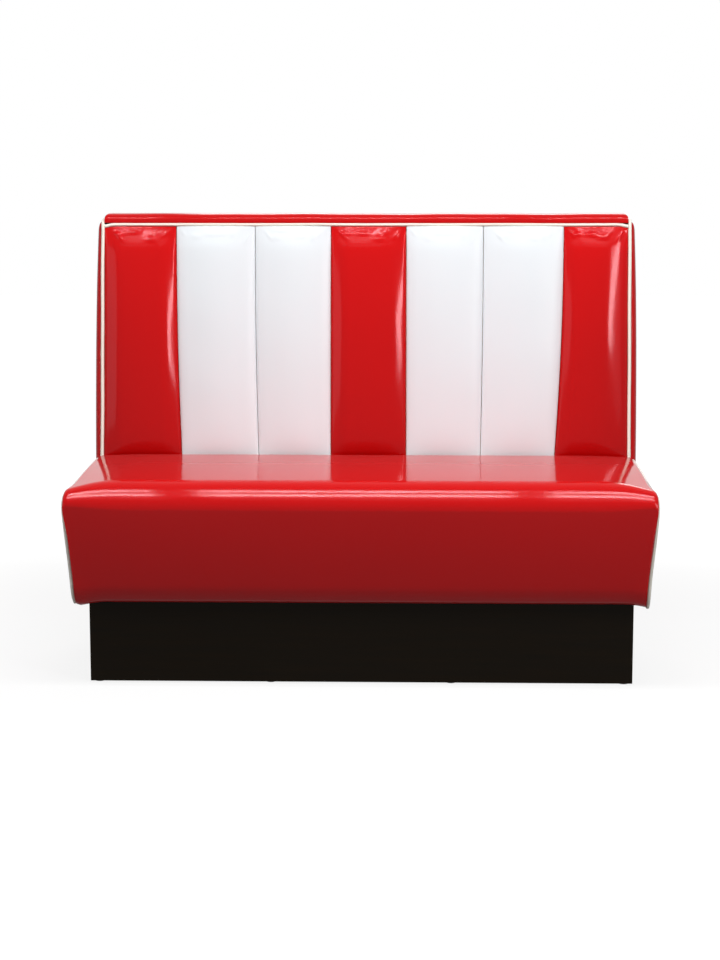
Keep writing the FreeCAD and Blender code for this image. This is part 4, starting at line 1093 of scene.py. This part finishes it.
def white_share(tree):
    """1 for rays that should see the white backdrop, and 0 for those that carry its light."""
    paths = add_node(tree, "ShaderNodeLightPath")
    total = paths.outputs[WHITE_RAYS[0]]
    for name in WHITE_RAYS[1:]:
        total = add_node(tree, "ShaderNodeMath", {0: total, 1: paths.outputs[name]},
                         operation="MAXIMUM").outputs[0]
    return total


def make_floor():
    data = bpy.data.meshes.new("studio_floor")
    reach = FLOOR_REACH
    data.from_pydata([(-reach, -reach, 0), (reach, -reach, 0), (reach, reach, 0), (-reach, reach, 0)], [],
                     [(0, 1, 2, 3)])
    floor = bpy.data.objects.new("studio_floor", data)
    bpy.context.scene.collection.objects.link(floor)
    material = bpy.data.materials.new("studio_floor")
    material.use_nodes = True
    tree = material.node_tree
    tree.nodes.clear()
    pale = add_node(tree, "ShaderNodeBsdfDiffuse", {"Color": (FLOOR_TONE, FLOOR_TONE, FLOOR_TONE, 1)})
    away = add_node(tree, "ShaderNodeVectorMath", {0: object_place(tree)}, operation="LENGTH")
    level = add_node(tree, "ShaderNodeMapRange",
                     {"Value": away.outputs["Value"], "From Min": FLOOR_NEAR, "From Max": FLOOR_FAR,
                      "To Min": FLOOR_NEAR_WHITE, "To Max": FLOOR_FAR_WHITE}, interpolation_type="SMOOTHSTEP")
    strength = add_node(tree, "ShaderNodeMath", {0: level.outputs["Result"], 1: white_share(tree)},
                        operation="MULTIPLY")
    glow = add_node(tree, "ShaderNodeEmission", {"Color": WHITE, "Strength": strength.outputs[0]})
    both = add_node(tree, "ShaderNodeAddShader", {0: pale.outputs[0], 1: glow.outputs[0]})
    add_node(tree, "ShaderNodeOutputMaterial", {"Surface": both.outputs[0]})
    data.materials.append(material)


def make_world():
    """Dim light from all sides, behind a backdrop that is white where it is seen."""
    world = bpy.data.worlds.new("studio")
    world.use_nodes = True
    tree = world.node_tree
    tree.nodes.clear()
    dim = add_node(tree, "ShaderNodeBackground", {"Color": WHITE, "Strength": AMBIENT})
    bright = add_node(tree, "ShaderNodeBackground", {"Color": WHITE, "Strength": 1.0})
    mixed = add_node(tree, "ShaderNodeMixShader",
                     {"Fac": white_share(tree), 1: dim.outputs[0], 2: bright.outputs[0]})
    add_node(tree, "ShaderNodeOutputWorld", {"Surface": mixed.outputs[0]})
    bpy.context.scene.world = world


# Lamps

# Rows of three ceiling lamps: the height they hang at, and where each starts and ends across the bench
BANK_HEIGHT = 2.25
BANK_ROWS = ((-1.5, -0.68), (-0.53, 0.41), (0.53, 1.35))

# The rows: name, place in depth, size in depth, radiance
BANKS = (
    ("rear_tube", -0.73, 0.053, 53),
    ("front_tube", -0.98, 0.053, 53),
    ("high_diffuser", -1.17, 0.28, 3.6),
    ("low_diffuser", -1.6, 0.58, 1.1),
)

# The lamps that stand: name, place, point they face, width, height, radiance
PANELS = (
    ("right_strip", (2.0, -2.4, 1.85), (0.3, 0, 0.75), 0.18, 1.3, 35),
    ("right_softbox", (2.3, -2.2, 1.5), (0.3, 0, 0.7), 0.8, 1.3, 0.8),
    ("left_softbox", (-3.0, -1.9, 1.4), (0, 0, 0.7), 1.1, 1.3, 1.6),
    ("rear_softbox", (0.4, 3.4, 2.4), (0, 0, 0.6), 2.4, 1.2, 5),
)


def add_panel(name, place, aim, width, height, radiance):
    """A rectangular lamp of a given brightness, turned to face a point."""
    data = bpy.data.lights.new(name, "AREA")
    data.shape = "RECTANGLE"
    data.size = width
    data.size_y = height
    data.energy = radiance * math.pi * width * height
    lamp = bpy.data.objects.new(name, data)
    lamp.location = place
    lamp.rotation_euler = (Vector(aim) - Vector(place)).to_track_quat("-Z", "Y").to_euler()
    bpy.context.scene.collection.objects.link(lamp)


def make_lights():
    for label, depth, size, radiance in BANKS:
        for number, (left, right) in enumerate(BANK_ROWS, start=1):
            across = (left + right) / 2
            add_panel(f"{label}_{number}", (across, depth, BANK_HEIGHT), (across, depth, 0), right - left, size,
                      radiance)
    for panel in PANELS:
        add_panel(*panel)


# Camera of the photograph, from a perspective fit to it: place in metres, turns in degrees

IMAGE_WIDTH = 720
FOCAL_PIXELS = 2042.9
SENSOR_WIDTH = 36.0
CAMERA_PLACE = (0.1138, -4.5353, 1.0953)
CAMERA_PITCH = 8.523
CAMERA_YAW = -1.524
CAMERA_ROLL = -0.015


def make_camera():
    data = bpy.data.cameras.new("photo_camera")
    data.sensor_fit = "HORIZONTAL"
    data.sensor_width = SENSOR_WIDTH
    data.lens = FOCAL_PIXELS / IMAGE_WIDTH * SENSOR_WIDTH
    camera = bpy.data.objects.new("photo_camera", data)
    camera.location = CAMERA_PLACE
    pitch, yaw, roll = (math.radians(turn) for turn in (CAMERA_PITCH, CAMERA_YAW, CAMERA_ROLL))
    upright = Matrix.Rotation(math.pi / 2 - pitch, 3, "X")
    turn = Matrix.Rotation(-yaw, 3, "Z") @ upright @ Matrix.Rotation(roll, 3, "Z")
    camera.rotation_euler = turn.to_euler()
    bpy.context.scene.collection.objects.link(camera)
    bpy.context.scene.camera = camera


finish_nodes()
make_seat_cover()
make_seat_foam()
make_seat_ends()
for number in range(1, len(SEAM_TOP_SHARES)):
    make_flute(number)
make_back_foam()
make_back_ends()
make_rear_panel()
make_top_roll()
make_top_welt()
make_floor()
make_world()
make_lights()
make_camera()
bpy.context.scene.view_settings.view_transform = "Standard"
